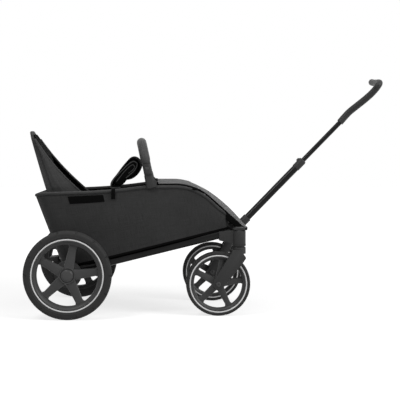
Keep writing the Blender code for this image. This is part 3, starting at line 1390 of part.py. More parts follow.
def bumper_path(low_z):
    """Return the arch that the bumper bar's middle follows."""
    rise = bumper_axis()
    top = bumper_point(BUMPER_TOP_Z, 0.0)
    path = []
    corner = BUMPER_CORNER
    inner = BUMPER_HALF - corner
    path.append(bumper_point(low_z, -BUMPER_HALF))
    for step in range(6):
        angle = 0.5 * math.pi * step / 5.0
        drop = corner * (1.0 - math.sin(angle))
        y = -inner - corner * math.cos(angle)
        path.append(top - rise * drop + Vector((0.0, y, 0.0)))
    path.append(top + Vector((0.0, -inner * 0.33, 0.0)))
    return path + [Vector((p.x, -p.y, p.z)) for p in reversed(path)]


def leaning_block(name, low_z, high_z, side, size, taper, finish):
    """Make an oval block round a bumper post between two heights."""
    rings = []
    axis = bumper_axis()
    start = bumper_point(low_z, side * BUMPER_HALF)
    length = (high_z - low_z) / math.cos(BUMPER_LEAN)
    for share in (0.0, 1.0):
        width = size[0] * blend(1.0, taper, share)
        depth = size[1] * blend(1.0, taper, share)
        middle = start + axis * length * share
        rings.append([middle + bumper_forward() * a + Vector((0.0, b, 0.0)) for a, b in oval(width, depth, 12, 0.7)])
    points, faces = skin(rings)
    return make_object(name, points, faces, finish)


def bumper_rod(low_z, high_z, side, radius):
    """Return a cutter along one bumper post, faceted as the bar is."""
    path = [bumper_point(low_z, side * BUMPER_HALF), bumper_point(high_z, side * BUMPER_HALF)]
    points, faces = skin(carried_rings(path, radius, SMALL_FACETS, bumper_forward()))
    return make_object("post_tool", points, faces, STEEL)


def make_bumper(chassis):
    """Make the bumper bar, its padded sleeve and end fittings, and the rim sockets."""
    rim_z = rim_height(BUMPER_BASE_X)
    tenon_low = BUMPER_SOCKET_TOP_Z - BUMPER_TENON
    for label, side in SIDES:
        socket = leaning_block("bumper_socket_" + label, rim_z - 0.008, BUMPER_SOCKET_TOP_Z, side,
                               BUMPER_SOCKET_SIZE, 0.92, GLOSS_FRAME)
        foot = [(BUMPER_BASE_X + 0.004, rim_z - 0.006), (HOOD_REAR_X - 0.006, rim_z - 0.006),
                (HOOD_REAR_X - 0.006, rim_z + 0.012), (HOOD_REAR_X - 0.012, rim_z + 0.018),
                (BUMPER_BASE_X + 0.002, rim_z + 0.026)]
        y = side * BUMPER_HALF
        socket = fuse(socket, prism("foot_tool", foot, y - 0.008, y + 0.008, GLOSS_FRAME))
        socket = carve(socket, roll_tool(SEAT_GAP))
        socket = carve(socket, bumper_rod(tenon_low - 0.002, BUMPER_SOCKET_TOP_Z + 0.02, side,
                                          BUMPER_TUBE_RADIUS + SLIDE_GAP))
        attach(socket, chassis)
    carrier = make_empty("bumper_axis", bumper_point(BUMPER_SOCKET_TOP_Z, 0.0), chassis)
    path = bumper_path(tenon_low)
    points, faces = skin(carried_rings(path, BUMPER_TUBE_RADIUS, SMALL_FACETS, bumper_forward()))
    make_object("bumper_bar", points, faces, GLOSS_FRAME, carrier)
    sleeve_path = bumper_path(BUMPER_JOINT_TOP_Z + SEAT_GAP)
    outer = carried_rings(sleeve_path, BUMPER_SLEEVE_RADIUS, SMALL_FACETS, bumper_forward())
    inner = carried_rings(sleeve_path, BUMPER_TUBE_RADIUS + SEAT_GAP, SMALL_FACETS, bumper_forward())
    points, faces = hollow_skin(outer, inner)
    make_object("bumper_sleeve", points, faces, LEATHERETTE, carrier)
    for label, side in SIDES:
        low = BUMPER_SOCKET_TOP_Z + SEAT_GAP
        joint = leaning_block("bumper_joint_" + label, low, BUMPER_JOINT_TOP_Z, side,
                              BUMPER_JOINT_SIZE, 1.0, MATT_PLASTIC)
        joint = carve(joint, bumper_rod(low - 0.02, BUMPER_JOINT_TOP_Z + 0.02, side,
                                        BUMPER_TUBE_RADIUS + SEAT_GAP))
        face = BUMPER_HALF + BUMPER_JOINT_SIZE[1] / 2.0
        pocket = BUMPER_HALF + BUMPER_TUBE_RADIUS + 0.0016
        middle = blend(low, BUMPER_JOINT_TOP_Z, 0.55)
        cut = button_block("pocket_tool", middle, side, pocket, face + 0.01, SLIDE_GAP)
        joint = carve(joint, cut)
        attach(joint, carrier)
        low_y = pocket + BUTTON_TRAVEL + RUNNING_GAP
        holder = make_empty("bumper_button_axis_" + label, bumper_point(middle, side * low_y), carrier)
        button = button_block("bumper_button_" + label, middle, side, low_y, face + 0.0006, 0.0)
        attach(button, holder)


def button_block(name, middle, side, low_y, high_y, grow):
    """Make a release button, or its pocket, on a bumper joint."""
    half_x = 0.0065 + grow
    half_z = 0.0050 + grow
    corner = 0.002
    x = bumper_line(middle)
    outline = [(x - half_x, middle - half_z + corner), (x - half_x + corner, middle - half_z),
               (x + half_x - corner, middle - half_z), (x + half_x, middle - half_z + corner),
               (x + half_x, middle + half_z - corner), (x + half_x - corner, middle + half_z),
               (x - half_x + corner, middle + half_z), (x - half_x, middle + half_z - corner)]
    return prism(name, outline, min(side * low_y, side * high_y), max(side * low_y, side * high_y),
                 MATT_PLASTIC)


def lap_outline():
    """Return the folded lap pad's side outline: two leaves joined by a round fold."""
    foot = Vector(LAP_FOOT)
    top = Vector(LAP_TOP)
    along = (top - foot).normalized()
    out = Vector((along.y, -along.x))
    length = (top - foot).length
    points = []

    def place(distance, offset):
        spot = foot + along * distance + out * offset
        return (spot.x, spot.y)

    leaf = LAP_LEAF
    for step in range(7):
        angle = math.pi * step / 6.0
        points.append(place(length + leaf * math.sin(angle), leaf * math.cos(angle)))
    points.append(place(length * 0.50, -leaf * 1.08))
    points.append(place(length * 0.08, -leaf))
    points.append(place(-leaf * 0.80, -leaf * 0.86))
    points.append(place(-leaf * 1.12, -leaf * 0.50))
    points.append(place(-leaf * 0.98, -LAP_SLIT * 0.5))
    points.append(place(length * 0.80, -LAP_SLIT * 0.5))
    points.append(place(length * 0.80, LAP_SLIT * 0.5))
    points.append(place(-leaf * 0.60, LAP_SLIT * 0.5))
    points.append(place(leaf * 0.10, leaf * 0.96))
    points.append(place(length * 0.50, leaf * 1.08))
    return points


def make_lap_pad(parent):
    """Make the folded pad across the rims, with a hanging strap outside each rim."""
    outline = lap_outline()
    middle_x = sum(x for x, _ in outline) / len(outline)
    middle_z = sum(z for _, z in outline) / len(outline)
    rings = []
    for y, size in ((-1.0, 0.90), (-0.975, 1.0), (-0.5, 1.03), (0.0, 1.04), (0.5, 1.03), (0.975, 1.0), (1.0, 0.90)):
        rings.append([Vector((middle_x + (x - middle_x) * size, y * LAP_HALF_WIDTH,
                              middle_z + (z - middle_z) * size)) for x, z in outline])
    points, faces = skin(rings)
    pad = make_object("lap_pad", points, faces, LINING)
    pad = carve(pad, roll_tool(0.0008))
    outer_y = RIM_WIDEST_HALF + 0.0022
    strap_path = [(LAP_HALF_WIDTH - 0.016, 0.0085), (LAP_HALF_WIDTH + 0.002, 0.0005),
                  (outer_y - 0.006, 0.0005), (outer_y, -0.0050), (outer_y, -LAP_STRAP_DROP)]
    for side in (-1.0, 1.0):
        rings = []
        for index, (y, above_rim) in enumerate(strap_path):
            thick = Vector((0.0012, 0.0)) if index >= 3 else Vector((0.0004, 0.0012))
            ring = []
            for x, part in ((-1.0, 0.0), (1.0, 0.0), (1.0, 1.0), (-1.0, 1.0)):
                place = LAP_STRAP_X + x * LAP_STRAP_WIDTH / 2.0
                ring.append(Vector((place, side * (y + thick.x * part),
                                    rim_height(place) + above_rim + thick.y * part)))
            rings.append(ring)
        points, faces = skin(rings)
        pad = fuse(pad, make_object("strap_tool", points, faces, LINING))
    attach(pad, parent)


def handle_point(along, sideways=0.0, lift=0.0):
    """Return the world point at a distance up the handle from its pivot."""
    ahead = Vector((math.cos(HANDLE_REST), 0.0, math.sin(HANDLE_REST)))
    rise = Vector((-math.sin(HANDLE_REST), 0.0, math.cos(HANDLE_REST)))
    return Vector((PIVOT_X, 0.0, PIVOT_Z)) + ahead * along + rise * lift + Vector((0.0, sideways, 0.0))


def handle_turned(name, stations, count, finish, bore=None):
    """Make a piece turned round the handle's line, with an optional bore."""
    axis = handle_point(1.0) - handle_point(0.0)
    if bore is None:
        points, faces = skin(turned_rings(stations, count, handle_point(0.0), axis))
    else:
        profile = stations + [(radius, along) for radius, along in reversed(bore)]
        points, faces = skin(turned_ring_rings(profile, count, handle_point(0.0), axis), wrap=True)
    return make_object(name, points, faces, finish)


def make_handle_bracket(parent):
    """Make the two-eared bracket on the front crossbeam and its pivot pin."""
    inner = KNUCKLE_HALF + RUNNING_GAP
    outer = inner + EAR_THICK
    saddle_radius = CROSSBEAM_RADIUS + 0.0055
    beam = (CROSSBEAM_X, 0.0, CROSSBEAM_Z)
    bracket = rod("handle_bracket", (CROSSBEAM_X, -outer, CROSSBEAM_Z), (CROSSBEAM_X, outer, CROSSBEAM_Z),
                  saddle_radius, ROUND_FACETS, MATT_PLASTIC)
    run = Vector((PIVOT_X - CROSSBEAM_X, PIVOT_Z - CROSSBEAM_Z))
    heading = math.atan2(run.y, run.x)
    outline = arc((PIVOT_X, PIVOT_Z), 0.013, heading - 0.5 * math.pi, heading + 0.5 * math.pi, 8)
    outline += arc((CROSSBEAM_X, CROSSBEAM_Z), saddle_radius - 0.001, heading + 0.5 * math.pi,
                   heading + 1.5 * math.pi, 8)
    for side in (-1.0, 1.0):
        ear = prism("ear_tool", outline, min(side * inner, side * outer), max(side * inner, side * outer),
                    MATT_PLASTIC)
        bracket = fuse(bracket, ear)
    bracket = carve(bracket, rod("beam_tool", (beam[0], -0.1, beam[2]), (beam[0], 0.1, beam[2]),
                                 CROSSBEAM_RADIUS + SEAT_GAP, ROUND_FACETS, STEEL))
    bracket = carve(bracket, rod("pin_tool", (PIVOT_X, -0.1, PIVOT_Z), (PIVOT_X, 0.1, PIVOT_Z),
                                 PIVOT_PIN_RADIUS + SEAT_GAP, SMALL_FACETS, STEEL))
    attach(bracket, parent)
    head = outer + SEAT_GAP
    stations = [(0.008, -head - 0.003), (0.008, -head), (PIVOT_PIN_RADIUS, -head),
                (PIVOT_PIN_RADIUS, head), (0.008, head), (0.008, head + 0.003)]
    points, faces = skin(turned_rings(stations, SMALL_FACETS, (PIVOT_X, 0.0, PIVOT_Z), (0.0, 1.0, 0.0)))
    make_object("handle_pin", points, faces, STEEL, parent)


def make_handle(chassis):
    """Make the tilting, telescopic pull handle."""
    pivot = (PIVOT_X, 0.0, PIVOT_Z)
    tilt = make_empty("handle_axis", pivot, chassis)
    knuckle = rod("handle_knuckle", (PIVOT_X, -KNUCKLE_HALF, PIVOT_Z), (PIVOT_X, KNUCKLE_HALF, PIVOT_Z),
                  KNUCKLE_RADIUS, ROUND_FACETS, MATT_PLASTIC)
    cup_radius = OUTER_TUBE_RADIUS + 0.0030
    knuckle = fuse(knuckle, handle_turned("cup_tool", [(KNUCKLE_HALF - 0.001, 0.004), (cup_radius, 0.018),
                                                      (cup_radius, SOCKET_END)], ROUND_FACETS, MATT_PLASTIC))
    knuckle = carve(knuckle, handle_turned("tube_tool", [(OUTER_TUBE_RADIUS + SEAT_GAP, OUTER_TUBE_START - SEAT_GAP),
                                                        (OUTER_TUBE_RADIUS + SEAT_GAP, SOCKET_END + 0.02)],
                                           20, STEEL))
    knuckle = carve(knuckle, rod("pin_tool", (PIVOT_X, -0.1, PIVOT_Z), (PIVOT_X, 0.1, PIVOT_Z),
                                 PIVOT_PIN_RADIUS + RUNNING_GAP, SMALL_FACETS, STEEL))
    attach(knuckle, tilt)
    bore = OUTER_TUBE_RADIUS - OUTER_TUBE_WALL
    outer = handle_turned("handle_outer_tube", [(OUTER_TUBE_RADIUS, OUTER_TUBE_START), (OUTER_TUBE_RADIUS, OUTER_TUBE_END)],
                          20, GLOSS_FRAME, [(bore, OUTER_TUBE_START), (bore, OUTER_TUBE_END)])
    attach(outer, tilt)
    lip = OUTER_TUBE_END + SEAT_GAP
    slide = INNER_TUBE_RADIUS + SLIDE_GAP
    seat = OUTER_TUBE_RADIUS + SEAT_GAP
    collar = handle_turned("handle_collar", [(COLLAR_RADIUS - 0.001, COLLAR_START), (COLLAR_RADIUS, COLLAR_START + 0.003),
                                            (COLLAR_RADIUS, COLLAR_END - 0.006), (COLLAR_RADIUS - 0.003, COLLAR_END)],
                           20, MATT_PLASTIC, [(seat, COLLAR_START), (seat, lip), (slide, lip), (slide, COLLAR_END)])
    middle = blend(lip, COLLAR_END, 0.42)
    collar = fuse(collar, handle_button("boss_tool", middle, COLLAR_RADIUS - 0.004, COLLAR_RADIUS + 0.004, 0.0025))
    pocket = INNER_TUBE_RADIUS + 0.0030
    collar = carve(collar, handle_button("pocket_tool", middle, pocket, COLLAR_RADIUS + 0.02, SLIDE_GAP))
    attach(collar, tilt)
    low = pocket + BUTTON_TRAVEL + RUNNING_GAP
    holder = make_empty("handle_button_axis", handle_point(middle, 0.0, low), tilt)
    button = handle_button("handle_button", middle, low, COLLAR_RADIUS + 0.0060, 0.0)
    attach(button, holder)
    reach = make_empty("telescope_axis", handle_point(INNER_TUBE_START), tilt)
    plug = bore - GRIP_PLUG_CLEARANCE
    inner_end = GRIP_START + GRIP_OVERLAP
    inner = handle_turned("handle_inner_tube", [(plug, INNER_TUBE_START), (plug, INNER_TUBE_START + 0.014),
                                               (INNER_TUBE_RADIUS, INNER_TUBE_START + 0.016),
                                               (INNER_TUBE_RADIUS, inner_end)], ROUND_FACETS, GLOSS_FRAME)
    attach(inner, reach)
    make_grip(reach, inner_end)


def handle_button(name, middle, low, high, grow):
    """Make the collar's release button, its pocket or its boss."""
    half_along = 0.0050 + grow
    half_side = 0.0042 + grow
    rings = []
    for lift in (low, high):
        rings.append([handle_point(middle + a, b, lift)
                      for a, b in ((-half_along, -half_side), (half_along, -half_side),
                                   (half_along, half_side), (-half_along, half_side))])
    points, faces = skin(rings)
    return make_object(name, points, faces, MATT_PLASTIC)


def grip_path():
    """Return the grip's middle line: a stem that swings aside, and a crossbar."""
    sway = GRIP_CROSSBAR / 2.0
    stem = GRIP_CORNER_ALONG - GRIP_START
    control = [(0.0, 0.0, 0.0), (0.12, -0.01, 0.0015), (0.26, -0.08, 0.0025), (0.42, -0.27, 0.0),
               (0.60, -0.52, -0.003), (0.76, -0.75, -0.004), (0.88, -0.91, -0.002)]
    points = [handle_point(GRIP_START + stem * a, sway * b, c) for a, b, c in control]
    centre_y = -sway + GRIP_BEND - 0.004
    for degrees in (20.0, 45.0, 70.0, 92.0):
        angle = math.radians(degrees)
        along = GRIP_CORNER_ALONG - GRIP_BEND * (1.0 - math.sin(angle)) + 0.002
        y = centre_y - GRIP_BEND * math.cos(angle)
        points.append(handle_point(along, y, 0.004 * degrees / 92.0))
    points.append(handle_point(GRIP_CORNER_ALONG + 0.003, sway * 0.35, GRIP_RISE * 0.65))
    points.append(handle_point(GRIP_CORNER_ALONG + 0.005, sway, GRIP_RISE))
    return points


def make_grip(parent, inner_end):
    """Make the padded grip, bored for the inner tube's end."""
    path = grip_path()
    heading = (path[-1] - path[-2]).normalized()
    radii = [GRIP_RADIUS] * len(path)
    path = path + [path[-1] + heading * GRIP_RADIUS * 0.55, path[-1] + heading * GRIP_RADIUS * 0.9]
    radii += [GRIP_RADIUS * 0.84, GRIP_RADIUS * 0.45]
    rings = carried_rings(path, radii, 12)
    points, faces = skin(rings)
    grip = make_object("handle_grip", points, faces, LEATHERETTE)
    cut = INNER_TUBE_RADIUS + SEAT_GAP
    grip = carve(grip, handle_turned("tube_tool", [(cut, GRIP_START - 0.02), (cut, inner_end + SEAT_GAP)], ROUND_FACETS, STEEL))
    grip.data.shade_smooth()
    grip.data.set_sharp_from_angle(angle=math.radians(35.0))
    attach(grip, parent)


SIDES = (("right", -1.0), ("left", 1.0))


def centre_on_base(chassis):
    """Move the assembly so that its bounding box's base is centred on the origin."""
    bpy.context.view_layer.update()
    low = Vector((math.inf, math.inf, math.inf))
    high = -low
    for item in bpy.data.objects:
        if item.type != "MESH":
            continue
        for vertex in item.data.vertices:
            place = item.matrix_world @ vertex.co
            low = Vector(map(min, low, place))
            high = Vector(map(max, high, place))
    chassis.location = Vector(((low.x + high.x) / -2.0, (low.y + high.y) / -2.0, -low.z))
    bpy.context.view_layer.update()
    print("size in metres", [round(v, 4) for v in high - low])
    print("shift in metres", [round(v, 6) for v in chassis.location])


def main():
    """Build the wagon."""
    clear_scene()
    chassis = make_empty("chassis", (0.0, 0.0, 0.0))
    for label, side in SIDES:
        make_rear_wheel(label, side, chassis)
        fork = make_fork(label, side, chassis)
        make_front_wheel(label, side, fork)
        make_rail("lower_rail_" + label, side, chassis)
        make_axle_block(label, side, chassis)
        make_housing(label, side, chassis)
    make_rear_axle(chassis)
    make_axle_beam(chassis)
    make_crossbeam(chassis)
    make_brake(chassis)
    make_tub(chassis)
    make_rim_roll(chassis)
    make_rim_tube(chassis)
    make_floor(chassis)
    make_hood(chassis)
    make_seat(chassis)
    make_crotch_strap(chassis)
    make_backrest(chassis)
    make_bumper(chassis)
    make_lap_pad(chassis)
    make_handle_bracket(chassis)
    make_handle(chassis)
    centre_on_base(chassis)


main()
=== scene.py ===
"""Looks of a child's pull-along wagon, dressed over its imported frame.

Lengths are metres. The lines that the pieces share are written ahead of the
rear axle: +X runs forward to the handle, +Y to the left and +Z up. A finished
mesh is moved into the row frame once, when its object is made.
"""
from __future__ import annotations

import logging
import math
from dataclasses import dataclass
from enum import Enum
from typing import Callable, Sequence, Union

import bmesh
import bpy
from mathutils import Matrix, Vector


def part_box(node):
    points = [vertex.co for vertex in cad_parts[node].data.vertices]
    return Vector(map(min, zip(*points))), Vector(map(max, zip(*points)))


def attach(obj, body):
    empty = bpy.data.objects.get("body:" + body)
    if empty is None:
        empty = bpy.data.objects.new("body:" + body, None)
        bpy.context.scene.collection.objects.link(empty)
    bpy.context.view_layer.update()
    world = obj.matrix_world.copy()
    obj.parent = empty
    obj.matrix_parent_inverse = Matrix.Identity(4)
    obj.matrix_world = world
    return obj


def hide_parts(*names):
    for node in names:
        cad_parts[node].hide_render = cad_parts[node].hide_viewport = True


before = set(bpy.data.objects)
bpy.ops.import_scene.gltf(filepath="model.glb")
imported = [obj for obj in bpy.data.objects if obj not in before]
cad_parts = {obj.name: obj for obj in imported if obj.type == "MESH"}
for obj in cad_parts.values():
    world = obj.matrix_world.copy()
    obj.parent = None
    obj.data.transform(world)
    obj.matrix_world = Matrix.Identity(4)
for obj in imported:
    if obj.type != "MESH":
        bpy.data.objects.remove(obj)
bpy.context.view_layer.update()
AXLE_X = sum(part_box("rear_axle"), Vector()).x / 2.0
LOG = logging.getLogger("wagon")
MERGE = 1e-6  # Points this close are one when a form is lofted or turned
SEW = 2e-6  # The same for a copied or a combined form
SEAM_SHADE_SKINS = (0.0016, 0.0002)  # How much wider the outer and inner skins of a painted seam shade band are
PAD_MESH = 0.005  # The mesh size that a pad is remade at
PAD_SWELL = 0.008  # How far a point of a pad may move when it swells
SWELL_FRAMES = 20
LEFT = Vector((0.0, 1.0, 0.0))
UP = Vector((0.0, 0.0, 1.0))
SIDES = (("right", -1.0), ("left", 1.0))
Numbers = Sequence[float]
Value = Union["Socket", float, Numbers]
Ring = Sequence[Vector]
Profile = Sequence[tuple[float, float]]
Section = Union[Profile, Callable[[int], Profile]]


# Shader maths


class Socket:
    """A shader value; Python's operators add the Math nodes that work it out."""

    def __init__(self, sheet: ShaderSheet, output: bpy.types.NodeSocket) -> None:
        """Wrap one output socket of a sheet's node."""
        self.sheet = sheet
        self.output = output

    def maths(self, operation: str, first: Value, second: Value = 0.0) -> Socket:
        """Return a Math node's result.

        Args:
            operation: The Math node's operation.
            first: Its first value.
            second: Its second value, where it takes two.

        Returns:
            The result.
        """
        return self.sheet.node("ShaderNodeMath", {"operation": operation}, {0: first, 1: second})

    def __add__(self, other: Value) -> Socket:
        """Return self + other."""
        return self.maths("ADD", self, other)

    def __sub__(self, other: Value) -> Socket:
        """Return self - other."""
        return self.maths("SUBTRACT", self, other)

    def __rsub__(self, other: Value) -> Socket:
        """Return other - self."""
        return self.maths("SUBTRACT", other, self)

    def __mul__(self, other: Value) -> Socket:
        """Return self * other."""
        return self.maths("MULTIPLY", self, other)

    def __truediv__(self, other: Value) -> Socket:
        """Return self / other."""
        return self.maths("DIVIDE", self, other)

    def __mod__(self, other: Value) -> Socket:
        """Return the remainder of self by other, never negative."""
        return self.maths("FLOORED_MODULO", self, other)

    def floor(self) -> Socket:
        """Return the whole part."""
        return self.maths("FLOOR", self)

    def fraction(self) -> Socket:
        """Return what is left above the whole part."""
        return self.maths("FRACT", self)

    def sine(self) -> Socket:
        """Return the sine, for a value in radians."""
        return self.maths("SINE", self)

    def size(self) -> Socket:
        """Return the value without its sign."""
        return self.maths("ABSOLUTE", self)

    def ramp(self, low: float, high: float, to_low: float = 0.0, to_high: float = 1.0) -> Socket:
        """Return the value mapped smoothly from one range to another.

        Args:
            low: Where the ramp starts.
            high: Where it ends.
            to_low: The result at its start.
            to_high: The result at its end.

        Returns:
            The mapped value.
        """
        values = {0: self, 1: low, 2: high, 3: to_low, 4: to_high}
        return self.sheet.node("ShaderNodeMapRange", {"interpolation_type": "SMOOTHSTEP"}, values)


class Axes(Enum):
    """What a pattern follows."""

    OBJECT = "Object"
    SURFACE = "UV"


class ShaderSheet:
    """The node tree of a material or the world, written as expressions."""

    def __init__(self, owner: bpy.types.Material | bpy.types.World) -> None:
        """Empty the owner's node tree."""
        owner.use_nodes = True
        self.owner = owner
        self.tree = owner.node_tree
        self.tree.nodes.clear()

    def feed(self, socket: bpy.types.NodeSocket, value: Value) -> None:
        """Set a node's input, or link a value to it."""
        if isinstance(value, Socket):
            self.tree.links.new(value.output, socket)
        else:
            socket.default_value = value

    def node(self, kind: str, settings: dict | None = None, values: dict | None = None,
             output: int | str = 0) -> Socket:
        """Add a node.

        Args:
            kind: The node's type.
            settings: Its properties, and "stops" for a ramp, as (place, colour) pairs.
            values: Its inputs by name or number.
            output: Which output is wanted.

        Returns:
            That output.
        """
        made = self.tree.nodes.new(kind)
        for key, value in (settings or {}).items():
            if key != "stops":
                setattr(made, key, value)
                continue
            while len(made.color_ramp.elements) < len(value):
                made.color_ramp.elements.new(1.0)
            for element, (place, colour) in zip(made.color_ramp.elements, value):
                element.position = place
                element.color = colour
        for key, value in (values or {}).items():
            self.feed(made.inputs[key], value)
        return Socket(self, made.outputs[output]) if made.outputs else None

    def axes(self, kind: Axes) -> Socket:
        """Return the object's own coordinates, or the surface's."""
        return self.node("ShaderNodeTexCoord", output=kind.value)

    def stretched(self, axes: Socket, scale: Numbers, turn: float = 0.0) -> Socket:
        """Return coordinates scaled and turned about Z."""
        values = {"Vector": axes, "Rotation": (0.0, 0.0, turn), "Scale": tuple(scale)}
        return self.node("ShaderNodeMapping", None, values)

    def parts(self, axes: Socket) -> tuple[Socket, Socket, Socket]:
        """Return a vector's three numbers."""
        first = self.node("ShaderNodeSeparateXYZ", None, {0: axes})
        outputs = first.output.node.outputs
        return first, Socket(self, outputs[1]), Socket(self, outputs[2])

    def noise(self, axes: Socket, scale: float, detail: float = 3.0, rough: float = 0.55) -> Socket:
        """Return noise from 0 to 1."""
        values = {"Vector": axes, "Scale": scale, "Detail": detail, "Roughness": rough}
        return self.node("ShaderNodeTexNoise", None, values)

    def cells(self, axes: Socket, scale: float, feature: str = "F1") -> Socket:
        """Return a cell pattern's distances."""
        values = {"Vector": axes, "Scale": scale}
        return self.node("ShaderNodeTexVoronoi", {"feature": feature}, values, "Distance")

    def between(self, share: Value, first: Value, second: Value) -> Socket:
        """Return a colour part of the way from one to another."""
        values = {0: share, 6: first, 7: second}
        return self.node("ShaderNodeMix", {"data_type": "RGBA"}, values, 2)

    def bump(self, height: Socket, distance: float, strength: float = 1.0) -> Socket:
        """Return the normal of a height in metres times distance."""
        values = {"Height": height, "Distance": distance, "Strength": strength}
        return self.node("ShaderNodeBump", None, values)

    def seen(self) -> Socket:
        """Return 1 for rays from the eye, also by way of a glossy or clear surface."""
        eye, glossy, clear = (self.node("ShaderNodeLightPath", output=f"Is {kind} Ray")
                              for kind in ("Camera", "Glossy", "Transmission"))
        return eye + glossy + clear

    def finish(self, shader: Socket, output: str = "ShaderNodeOutputMaterial") -> None:
        """Link the shader to the output node."""
        self.node(output, None, {0: shader})

    def dress(self, colour: Value, rough: Value, others: dict[str, Value]) -> bpy.types.Material:
        """Add the Principled shader with its inputs and return the material."""
        values = {"Base Color": colour, "Roughness": rough, **others}
        self.finish(self.node("ShaderNodeBsdfPrincipled", None, values))
        return self.owner


def grey(tone: float, warm: float = 0.0) -> tuple[float, float, float, float]:
    """Return a near-grey colour, warmer or cooler by a share."""
    return (tone * (1.0 + warm), tone, tone * (1.0 - warm), 1.0)


# Finishes


@dataclass(frozen=True)
class Finish:
    """A finish: its name, the record's slot that it takes, its base tone and roughness."""

    name: str
    slot: str
    tone: float
    rough: float

    def shade(self, sheet: ShaderSheet, share: Value, low: float, high: float) -> Socket:
        """Return the tone times a factor that a share picks between two."""
        return sheet.between(share, grey(self.tone * low), grey(self.tone * high))

    def dull(self, pattern: Socket, reach: tuple[float, float], less: float, more: float) -> Socket:
        """Return the roughness, lower and higher as a pattern runs over a reach."""
        return pattern.ramp(*reach, self.rough - less, self.rough + more)

    def write(self, sheet: ShaderSheet) -> bpy.types.Material:
        """Write the finish's nodes."""
        mottle = sheet.noise(sheet.axes(Axes.OBJECT), 40.0)
        colour = self.shade(sheet, mottle, 0.9, 1.1)
        return sheet.dress(colour, self.dull(mottle, (0.0, 1.0), 0.05, 0.05), {})

    def material(self) -> bpy.types.Material:
        """Return the finish's material, made on first use."""
        found = bpy.data.materials.get(self.name)
        return found or self.write(ShaderSheet(bpy.data.materials.new(self.name)))


@dataclass(frozen=True)
class WovenCloth(Finish):
    """Plain-woven cloth whose threads differ a little in tone, with painted shade in the hollows
    between them.
    """

    pitch: float = 0.0011
    melange: float = 0.3
    relief: float = 0.00016
    sheen: float = 0.15
    gloss: float = 0.12

    def write(self, sheet: ShaderSheet) -> bpy.types.Material:
        """Write the finish's nodes."""
        axes = sheet.axes(Axes.SURFACE)
        across, along, _ = sheet.parts(axes)
        warp = across / self.pitch
        weft = along / self.pitch
        over = (warp.floor() + weft.floor()) % 2.0
        warp_round = (warp.fraction() * math.pi).sine()
        weft_round = (weft.fraction() * math.pi).sine()
        height = over * warp_round + (1.0 - over) * weft_round
        warp_thread = sheet.noise(sheet.stretched(axes, (1.0 / self.pitch, 22.0, 1.0)), 0.8, 2.0)
        weft_thread = sheet.noise(sheet.stretched(axes, (22.0, 1.0 / self.pitch, 1.0)), 0.8, 2.0)
        thread = over * warp_thread + (1.0 - over) * weft_thread
        cloud = sheet.noise(sheet.axes(Axes.OBJECT), 9.0, 4.0)
        # Thread tone and the cloud are the cloth's own; the height term is painted shade, darker
        # where the weave dips between threads.
        tone = (thread.ramp(0.25, 0.75, -1.0, 1.0) * self.melange
                + cloud.ramp(0.3, 0.7, -0.07, 0.07) + height.ramp(0.0, 0.9, -0.16, 0.06))
        colour = self.shade(sheet, tone.ramp(-1.0, 1.0), 0.35, 1.65)
        return sheet.dress(colour, height * -0.08 + self.rough + 0.05, {
            "Normal": sheet.bump(height, self.relief), "Specular IOR Level": self.gloss,
            "Sheen Weight": self.sheen, "Sheen Roughness": 0.45})


@dataclass(frozen=True)
class Webbing(Finish):
    """Narrow strap webbing with ribs along its length."""

    rib: float = 0.0016

    def write(self, sheet: ShaderSheet) -> bpy.types.Material:
        """Write the finish's nodes."""
        across, along, _ = sheet.parts(sheet.axes(Axes.SURFACE))
        rib = across / self.rib
        ribs = (rib * math.pi).sine().size()
        picks = ((along / (self.rib * 0.7) + rib.floor() * 0.5) * math.pi).sine().size()
        height = ribs * 0.7 + picks * 0.3
        fuzz = sheet.noise(sheet.axes(Axes.OBJECT), 900.0, 2.0)
        # Painted shade: the colour darkens in the grooves between ribs and picks; the fuzz is the
        # webbing's own tone.
        colour = self.shade(sheet, height * 0.7 + fuzz * 0.3, 0.6, 1.35)
        return sheet.dress(colour, self.dull(fuzz, (0.2, 0.8), 0.0, 0.12),
                           {"Normal": sheet.bump(height, 0.0002), "Specular IOR Level": 0.04})


@dataclass(frozen=True)
class Leatherette(Finish):
    """Coated cloth with a fine pebbled grain and a gloss that varies in patches."""

    grain: float = 620.0

    def write(self, sheet: ShaderSheet) -> bpy.types.Material:
        """Write the finish's nodes."""
        axes = sheet.axes(Axes.OBJECT)
        pebble = sheet.cells(axes, self.grain, "DISTANCE_TO_EDGE").ramp(0.0, 0.16)
        crease = sheet.noise(axes, 160.0, 4.0, 0.6)
        cloud = sheet.noise(axes, 14.0, 3.0)
        # Painted shade: the colour darkens in the grooves between pebbles; the cloud is the skin's
        # own tone.
        colour = self.shade(sheet, pebble * 0.5 + cloud * 0.5, 0.75, 1.2)
        rough = self.dull(cloud, (0.3, 0.7), 0.07, 0.07) + (1.0 - pebble) * 0.12
        height = pebble * 0.7 + crease * 0.5
        return sheet.dress(colour, rough, {"Normal": sheet.bump(height, 0.00018),
                                           "Specular IOR Level": 0.28, "Sheen Weight": 0.05})


@dataclass(frozen=True)
class Moulding(Finish):
    """Moulded plastic with a spark-eroded grain and faint scuffs."""

    grain: float = 1500.0
    relief: float = 0.00005

    def write(self, sheet: ShaderSheet) -> bpy.types.Material:
        """Write the finish's nodes."""
        axes = sheet.axes(Axes.OBJECT)
        grain = sheet.noise(axes, self.grain, 2.0, 0.6)
        cloud = sheet.noise(axes, 18.0, 4.0)
        streaks = sheet.stretched(axes, (30.0, 30.0, 420.0), 0.4)
        scuff = sheet.noise(streaks, 1.0, 3.0).ramp(0.66, 0.8)
        tone = self.shade(sheet, cloud, 0.88, 1.12)
        colour = sheet.between(scuff * 0.25, tone, grey(self.tone * 2.0 + 0.02))
        rough = self.dull(cloud, (0.3, 0.7), 0.05, 0.05) + scuff * 0.1
        return sheet.dress(colour, rough, {"Normal": sheet.bump(grain, self.relief),
                                           "Specular IOR Level": 0.22})


